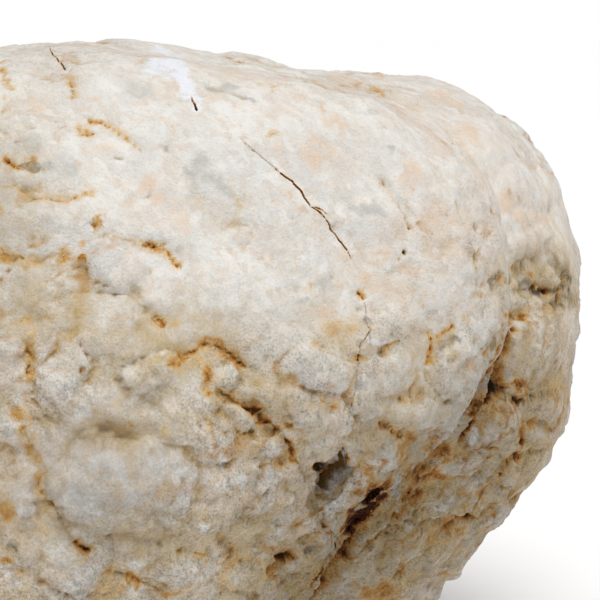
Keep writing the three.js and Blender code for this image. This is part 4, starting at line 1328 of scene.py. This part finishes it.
def marked(p, grain, crumbs, tone, fissures):
    """The tints that the stains and the marks leave, with painted shade, shadow and highlight among
    them. They are ragged, and follow the grain.
    """
    low = p.trait("low")
    sandy = p.trait("sand")
    fine = p.noise(2.6, 14, 4.0, 0.7)
    p.lay(OCHRE, p.patches(1.7, 20, 0.58, 0.7), p.plus((low, 0.4), (sandy, 0.7)), 0.8)
    p.lay(SAND, sandy, p.step(p.noise(3.4, 17, 5.0, 0.7), 0.3, 0.66, 0.3, 1.5))
    speckle = p.plus((grain, 0.6), (fine, 0.5), (tone, 0.16), -0.63)
    for name, hue, most in (("peach", PEACH, 0.9), ("grey", GREY, 0.9), ("chalk", CHALK, 0.9),
                            ("ice", ICE, 1.0)):
        amount = p.trait(name)
        share = p.step(p.plus(amount, (speckle, 1.7)), 0.15, 0.9, 0.0, most)
        p.lay(hue, share, p.step(amount, 0.05, 0.3))
    ragged = p.plus((grain, 2.3), (crumbs, 1.3), (fine, 1.8), (fissures, 0.35),
                    (p.trait("cavity"), 0.25), -1.85)
    # Grime and painted shade: grey-green to olive-brown in crevices and valleys that lie in shade.
    grime = p.times(p.trait("grime"), ragged)
    p.lay(GRIME_AND_SHADE, p.step(grime, 0.1, 0.9, 0.0, 0.7))
    p.lay(OLIVE, p.step(grime, 0.8, 1.5, 0.0, 0.85))
    veined = p.times(p.patches(11.0, 26, 0.52, 0.62, 3.0, 0.55), low, fissures, 0.2)
    # The iron stain also takes in the strip just beyond the rim and the spots the stone shelters: partly
    # rust, partly painted shadow under the overhang.
    iron = p.most(p.trait("iron"), p.times(p.trait("under"), 1.25),
                  p.times(p.trait("shelter"), 3.0), veined)
    iron = p.times(iron, ragged)
    for start, full, share, hue in RUSTING:
        p.lay(hue, p.step(iron, start, full, 0.0, share))


def frosted_pocket(p, grain):
    """Frosty crystals in the broken pocket, browner where it is deep, the brown partly painted shadow
    under its overhanging edge.
    """
    sunk = p.trait("pocket")
    p.lay(p.mix(p.patches(2.0, 16, 0.42, 0.56, 4.0), FROST, CHALK), p.step(sunk, 0.02, 0.15))
    # Brown where the pocket is deep, under its overhanging upper left edge: partly the stone's brown,
    # partly painted shadow.
    brown_and_shade = p.plus((sunk, 1.5), (grain, 0.9), -0.42)
    inside = p.step(sunk, 0.02, 0.2)
    p.lay(POCKET_BROWN, p.step(brown_and_shade, 0.25, 0.6), inside)
    p.lay(EARTH, p.step(brown_and_shade, 0.6, 1.1), inside)


def shaded(p, grain, crumbs, tone, small_tone):
    """Dark crumbs, and painted shade: darker in the hollows, over the dim patches and on the lower half.
    """
    low, rimward, dim = p.trait("low"), p.trait("rimward"), p.trait("dim")
    harsh = p.plus((p.trait("rough"), 0.5), (low, 0.3), (rimward, 0.3), (dim, -0.8),
                   p.step(low, 0.1, 0.4, 0.0, 0.6))
    speck = p.plus((crumbs, 1.5), (grain, 0.5), (small_tone, 0.2), (tone, 0.16), -1.18)
    # Painted shade: darker over the dim patches.
    light = p.plus(1.0, (speck, p.step(harsh, 0.0, 0.7, 0.35, 1.1)), (dim, -0.22), (rimward, 0.18))
    # Painted shade: the lower half up to a tenth darker.
    light = p.times(light, p.step(low, 0.0, 1.0, 1.0, 0.9))
    # Painted shade: the colour down to about half as bright in the hollows.
    light = p.times(light, p.step(p.trait("cavity"), 0.25, 2.6, 1.0, 0.52))
    shade = p.mix(light, (0.0, 0.0, 0.0), (1.0, 1.0, 1.0))
    p.colour = p.mix(1.0, p.colour, shade, "MULTIPLY")


def crust_material():
    p = Paint("crust")
    grain = p.noise(1.3, 1, 5.0, 0.65)
    crumbs = p.noise(0.33, 2, 3.0, 0.7)
    layers = p.noise(1.1, 7, 4.0, 0.6, p.stretched(LAMINA_RUN, 9.0))
    drawn_out = p.stretched(FLOW, 1.8)
    flake, tone = p.flakes(2.3, 5, p.warped(2.5, 0.7, 3, drawn_out))
    small_flake, small_tone = p.flakes(0.95, 9, p.warped(1.0, 0.3, 6, drawn_out))
    winding = p.warped(2.2, 1.1, 21, p.warped(0.7, 0.25, 22))
    patchy = p.patches(5.0, 23, 0.42, 0.58, 3.0, 0.55)
    wide_net = p.times(p.fissures(3.4, 24, 0.22, winding), patchy)
    fine_net = p.times(p.fissures(1.5, 25, 0.13, winding), p.step(patchy, 1.0, 0.0, 0.2, 0.8))
    fissures = p.most(wide_net, fine_net)

    clean_stone(p, tone, small_tone)
    stained(p, grain, crumbs)
    layered_stone(p, layers)
    marked(p, grain, crumbs, small_tone, fissures)
    frosted_pocket(p, grain)
    # Painted shadow: near black in the open cracks, the deep pits and the shaded crevices.
    p.lay(PAINTED_SHADOW_TONE, p.trait("dark"), 1.3)
    shaded(p, grain, crumbs, tone, small_tone)

    rough = p.plus((p.trait("rough"), 0.55), (p.trait("rimward"), 0.5), (p.trait("dim"), -0.3), 0.35)
    stained_here = p.step(p.most(p.trait("iron"), p.trait("under")), 0.1, 0.5)
    relief = None
    for height, depth, strength in (
        (flake, 0.55, rough), (small_flake, 0.3, rough), (grain, 0.55, rough),
        (p.times(fissures, -1.0), 0.12, stained_here), (layers, 0.9, p.trait("layered")),
        (crumbs, 0.6, rough),
    ):
        relief = p.bump(height, depth, strength, relief)
    p.put(p.shader.inputs["Base Color"], p.colour)
    p.put(p.shader.inputs["Roughness"], p.step(grain, 0.3, 0.7, 0.9, 0.72))
    p.put(p.shader.inputs["Normal"], relief)
    p.put(p.shader.inputs["Specular IOR Level"], 0.2)
    return p.material


# ------------------------------------------------------------
# The scene around the stone. The floor's reach and the camera's near and far are in metres.

FLOOR_REACH = 6.0
FLOOR_SIDES = 64
FLOOR_TONE = (0.965, 0.97, 0.98)
SUN_FROM = Vector((0.13, -0.38, 0.91))
SUN_STRENGTH = 2.66
SUN_SPREAD = math.radians(45)
SUN_TONE = (1.0, 0.99, 0.975)
SKY_SEEN = 1.0
SKY_GLOW = 0.31
CAMERA_NEAR = 0.01
CAMERA_FAR = 20.0


def floor_material():
    p = Paint("floor")
    p.put(p.shader.inputs["Base Color"], FLOOR_TONE)
    p.put(p.shader.inputs["Roughness"], 0.9)
    return p.material


def floor():
    mesh = bpy.data.meshes.new("floor")
    turns = [2 * math.pi * side / FLOOR_SIDES for side in range(FLOOR_SIDES)]
    ring = [(FLOOR_REACH * math.cos(turn), FLOOR_REACH * math.sin(turn), 0.0) for turn in turns]
    mesh.from_pydata(ring, [], [tuple(range(FLOOR_SIDES))])
    mesh.materials.append(floor_material())
    return add_object("floor", mesh)


def aim_along(thing, way):
    """Turns a lamp or a camera so that its back points a given way."""
    thing.rotation_mode = "QUATERNION"
    thing.rotation_quaternion = Vector(way).to_track_quat("Z", "Y")


def sun():
    light = bpy.data.lights.new("sun", "SUN")
    light.energy = SUN_STRENGTH
    light.angle = SUN_SPREAD
    light.color = SUN_TONE
    aim_along(add_object("sun", light), SUN_FROM)


def sky():
    """White all round: bright to the camera, softer as a light."""
    world = bpy.data.worlds.new("studio")
    world.use_nodes = True
    tree = world.node_tree
    background = tree.nodes["Background"]
    path = tree.nodes.new("ShaderNodeLightPath")
    strength = tree.nodes.new("ShaderNodeMapRange")
    strength.inputs["To Min"].default_value = SKY_GLOW
    strength.inputs["To Max"].default_value = SKY_SEEN
    background.inputs["Color"].default_value = (1.0, 1.0, 1.0, 1.0)
    tree.links.new(path.outputs["Is Camera Ray"], strength.inputs["Value"])
    tree.links.new(strength.outputs[0], background.inputs["Strength"])
    bpy.context.scene.world = world


def camera():
    lens = bpy.data.cameras.new("camera")
    lens.lens = LENS
    lens.sensor_width = SENSOR
    lens.clip_start = CAMERA_NEAR
    lens.clip_end = CAMERA_FAR
    eye = add_object("camera", lens)
    eye.location = Vector(view.eye) * MM
    aim_along(eye, view.back)
    bpy.context.scene.camera = eye


camera()
geode = stone_piece(weathered_crust())
geode.data.materials.append(crust_material())
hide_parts("geode")
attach(geode, "root")
floor()
sun()
sky()
bpy.context.scene.view_settings.view_transform = "Standard"
